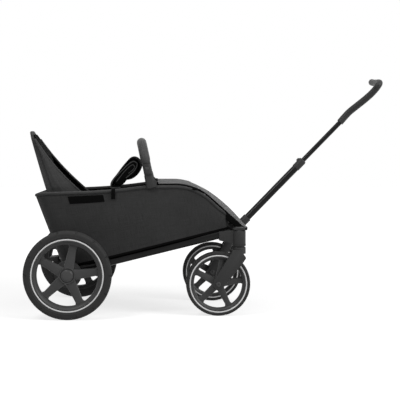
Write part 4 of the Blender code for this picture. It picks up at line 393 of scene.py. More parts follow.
@dataclass(frozen=True)
class GlossCoat(Finish):
    """Gloss powder coat: a black base under a clear skin with orange peel."""

    coat: float = 0.06

    def write(self, sheet: ShaderSheet) -> bpy.types.Material:
        """Write the finish's nodes."""
        axes = sheet.axes(Axes.OBJECT)
        peel = sheet.noise(axes, 260.0, 2.0)
        cloud = sheet.noise(axes, 11.0, 4.0)
        dust = sheet.noise(axes, 1400.0, 1.0).ramp(0.7, 0.8)
        colour = self.shade(sheet, dust * 0.15, 1.0, 4.0)
        coat = cloud.ramp(0.2, 0.8, self.coat - 0.04, self.coat + 0.04)
        return sheet.dress(colour, self.dull(cloud, (0.3, 0.7), 0.04, 0.06), {
            "Normal": sheet.bump(peel, 0.00006), "Specular IOR Level": 0.12, "Coat Weight": coat,
            "Coat Roughness": 0.1})


@dataclass(frozen=True)
class TyreRubber(Finish):
    """Moulded rubber: matt, with patches of pale dust that are also rougher."""

    def write(self, sheet: ShaderSheet) -> bpy.types.Material:
        """Write the finish's nodes."""
        axes = sheet.axes(Axes.OBJECT)
        pores = sheet.noise(axes, 1100.0, 2.0, 0.7)
        dust = sheet.noise(axes, 26.0, 5.0, 0.62).ramp(0.42, 0.74)
        colour = sheet.between(dust * 0.5, grey(self.tone), grey(self.tone * 1.7, 0.03))
        return sheet.dress(colour, self.dull(dust, (0.0, 1.0), 0.06, 0.08),
                           {"Normal": sheet.bump(pores, 0.00009), "Specular IOR Level": 0.2})


@dataclass(frozen=True)
class BrightBand(Finish):
    """Reflective ring: pale with a fine bead texture."""

    def write(self, sheet: ShaderSheet) -> bpy.types.Material:
        """Write the finish's nodes."""
        axes = sheet.axes(Axes.OBJECT)
        beads = sheet.cells(axes, 1300.0)
        film = sheet.noise(axes, 30.0, 3.0)
        colour = self.shade(sheet, film, 0.94, 1.04)
        return sheet.dress(colour, self.dull(film, (0.2, 0.8), 0.0, 0.1), {
            "Normal": sheet.bump(beads, 0.00004), "Coat Weight": 0.3, "Coat Roughness": 0.2})


@dataclass(frozen=True)
class BareSteel(Finish):
    """Drawn and turned bright steel."""

    def write(self, sheet: ShaderSheet) -> bpy.types.Material:
        """Write the finish's nodes."""
        axes = sheet.axes(Axes.OBJECT)
        lines = sheet.noise(sheet.stretched(axes, (900.0, 40.0, 900.0)), 1.0, 3.0)
        stain = sheet.noise(axes, 60.0, 4.0)
        colour = sheet.between(stain, grey(self.tone * 0.8, -0.02), grey(self.tone, -0.01))
        return sheet.dress(colour, self.dull(lines, (0.2, 0.8), 0.08, 0.1),
                           {"Normal": sheet.bump(lines, 0.00004), "Metallic": 1.0})


SIDE_CLOTH = WovenCloth("side_cloth", "tub_fabric", 0.038, 0.86)
ROLL_CLOTH = WovenCloth("roll_cloth", "tub_fabric", 0.044, 0.8)
# Painted light: the hood's cloth is the wings' fabric at nearly twice their tone, standing for the
# light on its upward faces.
HOOD_CLOTH_PAINTED_LIGHT = WovenCloth("hood_cloth", "hood_fabric", 0.075, 0.7, sheen=0.25)
WING_CLOTH = WovenCloth("wing_cloth", "hood_fabric", 0.04, 0.82)
LINING_CLOTH = WovenCloth("lining_cloth", "lining_fabric", 0.004, 0.92, pitch=0.0009, melange=0.35,
                          relief=0.00014, sheen=0.0, gloss=0.03)
BINDING = Webbing("edge_binding", "hood_fabric", 0.06, 0.75, 0.0011)
STRAP = Webbing("strap_webbing", "lining_fabric", 0.003, 0.8)
THREAD = Finish("stitch_thread", "tub_fabric", 0.06, 0.8)
GRIP_SKIN = Leatherette("grip_skin", "leatherette", 0.036, 0.42)
# Painted shade: a darker copy of the grip leatherette for the pull handle, offsetting the stronger
# front lamp light on it.
PULL_SKIN_PAINTED_SHADE = Leatherette("pull_skin_painted_shade", "leatherette", 0.02, 0.42)
FRAME_GLOSS = GlossCoat("frame_gloss", "frame_paint", 0.006, 0.2)
MATT_MOULD = Moulding("matt_mould", "matt_plastic", 0.03, 0.5)
WHEEL_MOULD = Moulding("wheel_mould", "wheel_plastic", 0.054, 0.42)
HUB_CAP = Moulding("hub_cap", "hub_plastic", 0.065, 0.28, relief=0.00002)
# Near black: painted shade in the gaps between moulded parts.
SEAM_GAP_PAINTED_SHADE = Finish("seam_gap_painted_shade", "matt_plastic", 0.003, 0.8)
RUBBER = TyreRubber("rubber", "tyre_rubber", 0.027, 0.72)
BAND = BrightBand("bright_band", "reflective_band", 0.78, 0.35)
STEEL = BareSteel("bright_steel", "bare_steel", 0.55, 0.3)
# Painted shade: the bare steel rim tube inside the roll is made near black and not metallic, as the
# shade inside the roll.
RIM_TUBE_PAINTED_SHADE = Finish("rim_tube_painted_shade", "bare_steel", 0.012, 0.6)


# Mesh shaping


def set_up(centre: Numbers, axis: Numbers) -> Matrix:
    """Return the move of a form made about Z to a centre and an axis."""
    turn = Vector(axis).to_track_quat("Z", "Y").to_matrix().to_4x4()
    return Matrix.Translation(centre) @ turn


def linked(name: str, data: bpy.types.ID) -> bpy.types.Object:
    """Return a new object in the scene."""
    item = bpy.data.objects.new(name, data)
    bpy.context.scene.collection.objects.link(item)
    return item


def mix(low: float, high: float, share: float) -> float:
    """Return a value part of the way from one to another."""
    return low + (high - low) * share


def clamp(value: float, low: float, high: float) -> float:
    """Return a value kept between two."""
    return min(high, max(low, value))


def ease(low: float, high: float, value: float) -> float:
    """Return 0 below low and 1 above high, turning smoothly between them."""
    share = clamp((value - low) / (high - low), 0.0, 1.0)
    return share * share * (3.0 - 2.0 * share)


def spread(count: int) -> list[float]:
    """Return shares from -1 to 1, closer together at both ends."""
    return [-math.cos(math.pi * i / (count - 1)) for i in range(count)]


def upright(line: Profile, y: float = 0.0) -> list[Vector]:
    """Return the points of a line in X and Z."""
    return [Vector((x, y, z)) for x, z in line]


def ellipse(width: float, height: float, count: int, power: float = 1.0) -> Profile:
    """Return an oval, boxier as its power falls below one."""
    points = []
    for index in range(count):
        angle = 2.0 * math.pi * index / count
        a, b = math.cos(angle), math.sin(angle)
        points.append((0.5 * width * math.copysign(abs(a) ** power, a),
                       0.5 * height * math.copysign(abs(b) ** power, b)))
    return points


def arc(centre: Numbers, radius: float, start: float, end: float, steps: int) -> Profile:
    """Return points along an arc, angles in degrees."""
    angles = [math.radians(mix(start, end, i / steps)) for i in range(steps + 1)]
    return [(centre[0] + radius * math.cos(a), centre[1] + radius * math.sin(a)) for a in angles]


def resampled(points: Ring, count: int, closed: bool = False) -> list[Vector]:
    """Return a smooth curve's points at even distances.

    Args:
        points: The points that the curve passes through.
        count: How many points to return.
        closed: Whether the curve runs back to its start.

    Returns:
        The evenly spaced points.
    """
    total = len(points)
    dense = []
    last = total if closed else total - 1
    for i in range(last):
        if closed:
            a, b, c, d = (points[(i + k) % total] for k in (-1, 0, 1, 2))
        else:
            a, b, c, d = (points[clamp(i + k, 0, total - 1)] for k in (-1, 0, 1, 2))
        for step in range(12):
            t = step / 12.0
            dense.append(0.5 * ((2.0 * b) + (c - a) * t + (2.0 * a - 5.0 * b + 4.0 * c - d) * t * t
                                + (3.0 * b - a - 3.0 * c + d) * t * t * t))
    dense.append(points[0].copy() if closed else points[-1].copy())
    return even_points(dense, count, closed)


def even_points(dense: Ring, count: int, closed: bool = False) -> list[Vector]:
    """Return points at even distances along straight runs between given points."""
    walked = [0.0]
    for first, second in zip(dense, dense[1:]):
        walked.append(walked[-1] + (second - first).length)
    steps = count if closed else count - 1
    made = []
    index = 0
    for step in range(count):
        target = walked[-1] * step / steps
        while index < len(dense) - 2 and walked[index + 1] < target:
            index += 1
        span = max(walked[index + 1] - walked[index], 1e-9)
        made.append(dense[index].lerp(dense[index + 1], (target - walked[index]) / span))
    return made


def swept(path: Ring, section: Section, side: Vector = LEFT, closed: bool = False) -> list[Ring]:
    """Return a section's rings along a path.

    Args:
        path: The path's points.
        section: The section, or a function of the point's number that gives it. Its first number
            runs towards side, and its second one square to that and to the path.
        side: The direction that the sections keep to.
        closed: Whether the path runs back to its start.

    Returns:
        The rings.
    """
    rings = []
    total = len(path)
    for i, point in enumerate(path):
        before = path[i - 1] if closed or i else point
        after = path[(i + 1) % total] if closed or i + 1 < total else point
        heading = (after - before).normalized()
        across = (side - heading * side.dot(heading)).normalized()
        rise = heading.cross(across)
        outline = section(i) if callable(section) else section
        rings.append([point + across * a + rise * b for a, b in outline])
    return rings


class Form:
    """A bmesh under construction, with the shaping steps that the pieces share."""

    def __init__(self) -> None:
        """Start an empty form with a surface map."""
        self.mesh = bmesh.new()
        self.map = self.mesh.loops.layers.uv.new("UVMap")

    @classmethod
    def loft(cls, rings: Sequence[Ring], round_about: bool = True, wrap: bool = False,
             caps: bool = True) -> Form:
        """Skin a row of rings.

        Args:
            rings: The rings' points, equally many in each.
            round_about: Whether each ring closes on itself.
            wrap: Whether the last ring joins the first.
            caps: Whether open ends are filled.

        Returns:
            The form, its map in metres along the rings and from ring to ring.
        """
        form = cls()
        around, along = len(rings[0]), len(rings)
        columns = around if round_about else around - 1
        rows = along if wrap else along - 1
        bmesh.ops.create_grid(form.mesh, x_segments=columns, y_segments=rows, size=0.5)
        middle = rings[along // 2]
        width = sum((b - a).length for a, b in zip(middle, middle[1:]))
        length = sum((b[0] - a[0]).length for a, b in zip(rings, rings[1:]))
        for face in form.mesh.faces:
            for corner in face.loops:
                at = corner.vert.co
                corner[form.map].uv = ((at.x + 0.5) * width, (at.y + 0.5) * length)
        for vert in form.mesh.verts:
            i = round((vert.co.x + 0.5) * columns) % around
            j = round((vert.co.y + 0.5) * rows) % along
            vert.co = rings[j][i]
        form.sew(MERGE)
        if caps and round_about and not wrap:
            form.fill_holes()
        if caps and round_about or wrap:
            form.face_out()
        return form

    @classmethod
    def lathe(cls, profile: Profile, centre: Numbers, axis: Numbers,
              steps: int = 48, ring: bool = False) -> Form:
        """Spin a profile.

        Args:
            profile: (radius, distance along the axis) pairs.
            centre: The point that the distances start from.
            axis: The axis' direction.
            steps: How many facets the spin has.
            ring: Whether the profile closes on itself.

        Returns:
            The turned form.
        """
        form = cls()
        verts = [form.mesh.verts.new((radius, 0.0, along)) for radius, along in profile]
        edges = [form.mesh.edges.new(pair) for pair in zip(verts, verts[1:])]
        if ring:
            edges.append(form.mesh.edges.new((verts[-1], verts[0])))
        bmesh.ops.spin(form.mesh, geom=verts + edges, cent=(0.0, 0.0, 0.0), axis=(0.0, 0.0, 1.0),
                       dvec=(0.0, 0.0, 0.0), angle=2.0 * math.pi, steps=steps, use_merge=True,
                       use_duplicate=False)
        form.moved(set_up(centre, axis)).sew(MERGE)
        form.fill_holes()
        form.face_out()
        return form

    @classmethod
    def rod(cls, radius: float, low: float, high: float, centre: Numbers,
            axis: Numbers, steps: int) -> Form:
        """Make a cylinder between two distances along an axis."""
        profile = [(0.0, low), (radius, low), (radius, high), (0.0, high)]
        return cls.lathe(profile, centre, axis, steps)

    @classmethod
    def sweep(cls, path: Ring, section: Section, side: Vector = LEFT,
              closed: bool = False) -> Form:
        """Make a closed body from a section's rings along a path."""
        return cls.loft(swept(path, section, side, closed), True, closed)

    @classmethod
    def prism(cls, outline: Profile, low: float, high: float, round_by: float = 0.0,
              steps: int = 3) -> Form:
        """Extrude an outline in X and Z along Y, with rounded edges."""
        form = cls()
        verts = [form.mesh.verts.new((x, low, z)) for x, z in outline]
        face = form.mesh.faces.new(verts)
        made = bmesh.ops.extrude_face_region(form.mesh, geom=[face])
        moved = [item for item in made["geom"] if isinstance(item, bmesh.types.BMVert)]
        bmesh.ops.translate(form.mesh, verts=moved, vec=(0.0, high - low, 0.0))
        form.face_out()
        if round_by:
            form.bevel(round_by, steps)
        return form

    @classmethod
    def block(cls, low: Numbers, high: Numbers, round_by: float = 0.0,
              steps: int = 3) -> Form:
        """Make a box with rounded edges."""
        outline = [(low[0], low[2]), (high[0], low[2]), (high[0], high[2]), (low[0], high[2])]
        return cls.prism(outline, low[1], high[1], round_by, steps)

    @classmethod
    def copy(cls, node: str) -> Form:
        """Copy a CAD node's mesh, sewn together and with its flat facets joined."""
        form = cls()
        form.mesh.from_mesh(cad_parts[node].data)
        form.map = form.mesh.loops.layers.uv.verify()
        form.sew()
        bmesh.ops.dissolve_limit(form.mesh, angle_limit=math.radians(0.6), verts=form.mesh.verts[:],
                                 edges=form.mesh.edges[:])
        form.moved(Matrix.Translation((-AXLE_X, 0.0, 0.0))).map_by_facing()
        return form

    def map_by_facing(self) -> None:
        """Lay the surface map square on each face, in metres."""
        for face in self.mesh.faces:
            sizes = [abs(value) for value in face.normal]
            first, second = ((1, 2), (0, 2), (0, 1))[sizes.index(max(sizes))]
            for corner in face.loops:
                corner[self.map].uv = (corner.vert.co[first], corner.vert.co[second])

    def sew(self, reach: float = SEW) -> None:
        """Join the points that lie within reach of one another."""
        bmesh.ops.remove_doubles(self.mesh, verts=self.mesh.verts[:], dist=reach)

    def fill_holes(self) -> None:
        """Close the open ends."""
        rims = [edge for edge in self.mesh.edges if edge.is_boundary]
        bmesh.ops.holes_fill(self.mesh, edges=rims, sides=0)

    def face_out(self) -> None:
        """Turn the faces outwards."""
        bmesh.ops.recalc_face_normals(self.mesh, faces=self.mesh.faces[:])

    def bevel(self, width: float, steps: int = 3, angle: float = 28.0) -> Form:
        """Round the edges that turn by more than an angle in degrees."""
        limit = math.radians(angle)
        edges = [edge for edge in self.mesh.edges
                 if len(edge.link_faces) == 2 and edge.calc_face_angle(0.0) > limit]
        bmesh.ops.bevel(self.mesh, geom=edges, offset=width, offset_type="OFFSET", segments=steps,
                        profile=0.5, affect="EDGES", clamp_overlap=True, material=-1)
        return self

    def moved(self, matrix: Matrix) -> Form:
        """Move the whole form."""
        bmesh.ops.transform(self.mesh, matrix=matrix, verts=self.mesh.verts[:])
        if matrix.determinant() < 0.0:
            bmesh.ops.reverse_faces(self.mesh, faces=self.mesh.faces[:])
        return self

    def add(self, other: Form) -> Form:
        """Take in another form's faces, unjoined."""
        spare = bpy.data.meshes.new("spare")
        other.mesh.to_mesh(spare)
        self.mesh.from_mesh(spare)
        bpy.data.meshes.remove(spare)
        other.mesh.free()
        return self

    def item(self, name: str = "spare") -> bpy.types.Object:
        """Put the form's mesh into an object of its own."""
        data = bpy.data.meshes.new(name)
        self.mesh.to_mesh(data)
        self.mesh.free()
        return linked(name, data)

    def take(self, *items: bpy.types.Object) -> Form:
        """Take the first spare object's mesh as its modifiers leave it, and remove the spares."""
        graph = bpy.context.evaluated_depsgraph_get()
        made = bpy.data.meshes.new_from_object(items[0].evaluated_get(graph))
        self.mesh = bmesh.new()
        self.mesh.from_mesh(made)
        self.map = self.mesh.loops.layers.uv.verify()
        bpy.data.meshes.remove(made)
        for item in items:
            data = item.data
            bpy.data.objects.remove(item)
            bpy.data.meshes.remove(data)
        return self

    def combined(self, other: Form, operation: str) -> Form:
        """Unite with another form or cut it away."""
        pair = self.item(), other.item()
        step = pair[0].modifiers.new("step", "BOOLEAN")
        step.operation = operation
        step.object = pair[1]
        step.solver = "EXACT"
        self.take(*pair).sew()
        self.fill_holes()
        return self

    def united(self, *others: Form) -> Form:
        """Unite with other forms."""
        for other in others:
            self.combined(other, "UNION")
        return self

    def cut(self, *others: Form) -> Form:
        """Cut other forms away."""
        for other in others:
            self.combined(other, "DIFFERENCE")
        return self

    def marked(self, test: Callable[[Vector], bool]) -> Form:
        """Give the faces whose normals pass a test the form's second finish."""
        self.mesh.normal_update()
        for face in self.mesh.faces:
            face.material_index = 1 if test(face.normal) else 0
        return self

    def piece(self, name: str, finish: Finish, body: str, replaces: Sequence[str] = (),
              sharp: float = 32.0, lining: Finish | None = None) -> bpy.types.Object:
        """Make the finished object.

        Args:
            name: The piece's name.
            finish: Its finish.
            body: The CAD body that it rides on.
            replaces: The CAD nodes that it stands for.
            sharp: The angle in degrees from which an edge shows sharp.
            lining: The finish of the marked faces.

        Returns:
            The object.
        """
        item = self.moved(Matrix.Translation((AXLE_X, 0.0, 0.0))).item(name)
        data = item.data
        data.shade_smooth()
        data.set_sharp_from_angle(angle=math.radians(sharp))
        data.materials.append(finish.material())
        if lining:
            data.materials.append(lining.material())
        if replaces:
            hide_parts(*replaces)
        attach(item, body)
        LOG.info("%s: %d faces on %s", name, len(data.polygons), body)
        return item


def dressed(node: str, finish: Finish, body: str, round_by: float = 0.0012, steps: int = 2,
            sharp: float = 32.0) -> bpy.types.Object:
    """Make a piece from a CAD node's own shape, with its edges rounded."""
    form = Form.copy(node)
    if round_by:
        form.bevel(round_by, steps, 30.0)
    return form.piece(node + "_piece", finish, body, (node,), sharp)


def seam_shade_band(node: str, body: str, low: float, high: float) -> None:
    """Make a thin dark band round a CAD node's shape between two heights: painted shade for the
    shadow in a seam's gap.
    """
    skins = []
    first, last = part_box(node)
    size = last - first
    there = Matrix.Translation((first + last) / 2.0 - Vector((AXLE_X, 0.0, 0.0)))
    for grown in SEAM_SHADE_SKINS:
        wider = Matrix.Diagonal((1.0 + grown / size.x, 1.0 + grown / size.y, 1.0, 1.0))
        skins.append(Form.copy(node).moved(there @ wider @ there.inverted()))
    slab = Form.block((-1.0, -1.0, low), (1.0, 1.0, high))
    band = skins[0].combined(slab, "INTERSECT").cut(skins[1])
    band.map_by_facing()
    band.piece(f"{node}_seam_{round(low * 1e3)}", SEAM_GAP_PAINTED_SHADE, body)


def plumped(form: Form, settle: Callable[[Vector], Vector]) -> Form:
    """Swell a padded form as cloth under air pressure and subdivide it once.

    Args:
        form: The form, a little smaller than it will be.
        settle: Returns where a swollen point comes to rest, off its neighbours and in its channels.

    Returns:
        The swollen form.
    """
    item = form.item()
    even = item.modifiers.new("even", "REMESH")
    even.mode = "VOXEL"
    even.voxel_size = PAD_MESH
    form.take(item)
    start = [vert.co.copy() for vert in form.mesh.verts]
    item = form.item()
    swell = item.modifiers.new("swell", "CLOTH")
    swell.settings.use_pressure = True
    swell.settings.uniform_pressure_force = 4.0
    swell.settings.effector_weights.gravity = 0.0
    for number in range(1, SWELL_FRAMES + 1):
        bpy.context.scene.frame_set(number)
    form.take(item)
    bpy.context.scene.frame_set(1)
    for vert, was in zip(form.mesh.verts, start):
        move = vert.co - was
        vert.co = was + move * min(1.0, PAD_SWELL / max(move.length, MERGE))
    item = form.item()
    finer = item.modifiers.new("finer", "SUBSURF")
    finer.levels = 1
    finer.render_levels = 1
    form.take(item)
    for vert in form.mesh.verts:
        vert.co = settle(vert.co)
    form.map_by_facing()
    return form


def stitches(path: Ring, pitch: float, length: float, width: float) -> Form:
    """Make a row of stitches on top of cloth.

    Args:
        path: The seam's points.
        pitch: The distance from stitch to stitch.
        length: One stitch's length.
        width: One stitch's width.

    Returns:
        The stitches, each a low six-sided bead.
    """
    total = sum((b - a).length for a, b in zip(path, path[1:]))
    places = even_points(path, int(total / pitch))
    scale = Matrix.Diagonal((length, width, width * 0.8, 1.0))
    laid = scale @ Matrix.Rotation(math.pi / 2.0, 4, "Y")
    form = Form()
    for place, after in zip(places, places[1:]):
        heading = (after - place).normalized()
        across = UP.cross(heading).normalized()
        turn = Matrix((heading, across, heading.cross(across))).transposed().to_4x4()
        made = bmesh.ops.create_cone(form.mesh, cap_ends=True, segments=6, radius1=0.5,
                                     radius2=0.5, depth=1.0)
        bmesh.ops.transform(form.mesh, matrix=Matrix.Translation(place) @ turn @ laid,
                            verts=made["verts"])
    return form


# Hull lines


@dataclass(frozen=True)
class Outline:
    """A boat-shaped loop's sizes: its ends, half widths and corner radius."""

    rear_x: float
    front_x: float
    rear_half: float
    widest_half: float
    front_half: float
    corner: float

    def inset(self, by: float) -> Outline:
        """Return the outline drawn in on all sides."""
        return Outline(self.rear_x + by, self.front_x - by, self.rear_half - by,
                       self.widest_half - by, self.front_half - by, self.corner - by)


@dataclass(frozen=True)
class HullLines:
    """The lines that the tub, its rim, its hood and the rails share."""

    rim: Outline = Outline(-0.123, 0.562, 0.203, 0.225, 0.181, 0.055)
    base: Outline = Outline(-0.023, 0.552, 0.19, 0.214, 0.176, 0.055)
    widest_x: float = 0.12
    rear_z: float = 0.425
    rear_drop: float = 0.007
    rear_drop_length: float = 0.045
    sag: float = 0.006
    rise_end_x: float = 0.262
    rise_end_z: float = 0.451
    level_end_x: float = 0.365
    bend_radius: float = 0.175
    drop_angle: float = math.radians(42.0)
    roll_width: float = 0.024
    roll_height: float = 0.013
    rail_rise: float = 0.1329
    rail_bottom_at_axle: float = 0.1395
    rail_height: float = 0.027
    rail_width: float = 0.022
    rail_rear_x: float = -0.018
    rail_front_x: float = 0.552
    rail_rear_half: float = 0.205
    rail_front_half: float = 0.178
    bulge: float = 0.004
    cloth_gap: float = 0.0003
    mouth_inset: float = 0.004

    def rim_height(self, x: float) -> float:
        """Return the height of the rim's upper side."""
        bend_length = self.bend_radius * math.sin(self.drop_angle)
        if x < self.rise_end_x:
            share = (x - self.rim.rear_x) / (self.rise_end_x - self.rim.rear_x)
            fall = max(0.0, 1.0 - (x - self.rim.rear_x) / self.rear_drop_length)
            sag = self.sag * math.sin(math.pi * max(0.0, share) ** 1.4)
            return mix(self.rear_z, self.rise_end_z, share) - self.rear_drop * fall ** 2 - sag
        past = x - self.level_end_x
        if past < 0.0:
            return self.rise_end_z
        if past < bend_length:
            return self.rise_end_z - self.bend_radius + math.sqrt(self.bend_radius ** 2 - past ** 2)
        drop = self.bend_radius * (1.0 - math.cos(self.drop_angle))
        return self.rise_end_z - drop - (past - bend_length) * math.tan(self.drop_angle)

    def rail_bottom(self, x: float) -> float:
        """Return the height of the rails' underside."""
        return self.rail_bottom_at_axle + self.rail_rise * x / self.rail_front_x

    def rail_top(self, x: float) -> float:
        """Return the height of the rails' upper side."""
        return self.rail_bottom(x) + self.rail_height

    def rail_half(self, x: float) -> float:
        """Return the sideways place of a rail's middle."""
        share = (x - self.rail_rear_x) / (self.rail_front_x - self.rail_rear_x)
        return mix(self.rail_rear_half, self.rail_front_half, share)

    def loop(self, shape: Outline, count: int, height: Callable[[float], float]) -> list[Vector]:
        """Return a boat-shaped loop, from its rear middle round the left side.

        Args:
            shape: The outline.
            count: How many points to return.
            height: The height at an X.

        Returns:
            The points, evenly spaced.
        """
        def half_width(x: float) -> float:
            """Return the side's place at an X."""
            if x < self.widest_x:
                share = (self.widest_x - x) / (self.widest_x - shape.rear_x)
                return shape.widest_half - (shape.widest_half - shape.rear_half) * share ** 2
            share = (x - self.widest_x) / (shape.front_x - self.widest_x)
            return shape.widest_half - (shape.widest_half - shape.front_half) * share ** 2

        c = shape.corner
        rear_y = half_width(shape.rear_x + c)
        front_y = half_width(shape.front_x - c)
        half = [(shape.rear_x, 0.0)]
        half += arc((shape.rear_x + c, rear_y - c), c, 180.0, 90.0, 12)
        half += [(x, half_width(x)) for x in (mix(shape.rear_x + c, shape.front_x - c, i / 40.0)
                                              for i in range(1, 40))]
        half += arc((shape.front_x - c, front_y - c), c, 90.0, 0.0, 12)
        half.append((shape.front_x, 0.0))
        around = half + [(x, -y) for x, y in reversed(half[1:-1])] + half[:1]
        flat = even_points([Vector((x, y, 0.0)) for x, y in around], count, True)
        return [Vector((p.x, p.y, height(p.x))) for p in flat]

    def rim_path(self, count: int) -> list[Vector]:
        """Return the loop that the roll's middle follows."""
        return self.loop(self.rim.inset(self.roll_width / 2.0), count,
                         lambda x: self.rim_height(x) - self.roll_height / 2.0)

    def rim_half(self, x: float) -> float:
        """Return the sideways place of the roll's middle at an X."""
        path = [p for p in self.rim_path(400) if p.y >= 0.0]
        return min(path, key=lambda p: abs(p.x - x)).y

    def wall(self, share: float, inset: float, count: int) -> list[Vector]:
        """Return one level of the tub's wall, from its base (0) to its mouth (1)."""
        low = self.loop(self.base.inset(inset), count,
                        lambda x: self.rail_top(x) + self.cloth_gap + inset)
        high = self.loop(self.rim.inset(self.mouth_inset + inset), count, lambda x: 0.0)
        aside = self.roll_width / 2.0 - self.mouth_inset - inset
        under = self.roll_height / 2.0 * (1.0 - abs(2.0 * aside / self.roll_width) ** 2.5) ** 0.4
        for i, point in enumerate(high):
            run = high[(i + 1) % count] - high[i - 1]
            run = Vector((run.x, run.y)).normalized()
            over = point.x + aside * run.y
            past = max(0.0, over - self.level_end_x) / self.bend_radius
            slope = math.asin(min(past, math.sin(self.drop_angle))) * abs(run.x)
            drop = self.roll_height / 2.0 + under / math.cos(slope) + self.cloth_gap
            point.z = self.rim_height(over) - drop
        loop = []
        for a, b in zip(low, high):
            point = a.lerp(b, share)
            aside = min(1.0, abs(point.y) / 0.05)
            point.y += math.copysign(self.bulge * math.sin(math.pi * share) * aside, point.y)
            loop.append(point)
        return loop


HULL = HullLines()
FLOOR_RISE = 0.0106


# Wheels


@dataclass(frozen=True)
class Spoke:
    """A spoke's turn, widths at hub and rim, depth and dish."""

    start: float
    root: float
    tip: float
    depth: float
    dish: float
    flare: float


@dataclass(frozen=True)
class WheelSizes:
    """One size of wheel."""

    kind: str
    centre_x: float
    track_half: float
    radius: float
    width: float
    seat: float
    window: float
    spoke: Spoke
    hub: Profile
    bore: float
    lugs: int
    recess: float = 0.0


REAR_WHEEL = WheelSizes(
    kind="rear", centre_x=0.0, track_half=0.28, radius=0.15, width=0.045, seat=0.1185,
    window=0.105,
    spoke=Spoke(start=6.5, root=0.036, tip=0.0235, depth=0.015, dish=0.006, flare=0.008),
    hub=((0.011, -0.0555), (0.011, -0.032), (0.045, -0.032), (0.047, -0.03), (0.047, -0.02),
         (0.031, -0.015), (0.03, 0.004), (0.0295, 0.0125), (0.0285, 0.015), (0.027, 0.0165),
         (0.025, 0.0166), (0.0236, 0.0158), (0.0232, 0.013), (0.0232, 0.0088), (0.0065, 0.0088)),
    bore=0.0065, lugs=14, recess=0.0245)
FRONT_WHEEL = WheelSizes(
    kind="front", centre_x=0.5145, track_half=0.185, radius=0.111, width=0.04, seat=0.0945,
    window=0.0845,
    spoke=Spoke(start=8.0, root=0.026, tip=0.0175, depth=0.012, dish=0.004, flare=0.006),
    hub=((0.015, -0.0215), (0.0185, -0.0208), (0.02, -0.0185), (0.02, 0.0185), (0.0185, 0.0208),
         (0.015, 0.0215)),
    bore=0.0055, lugs=14)


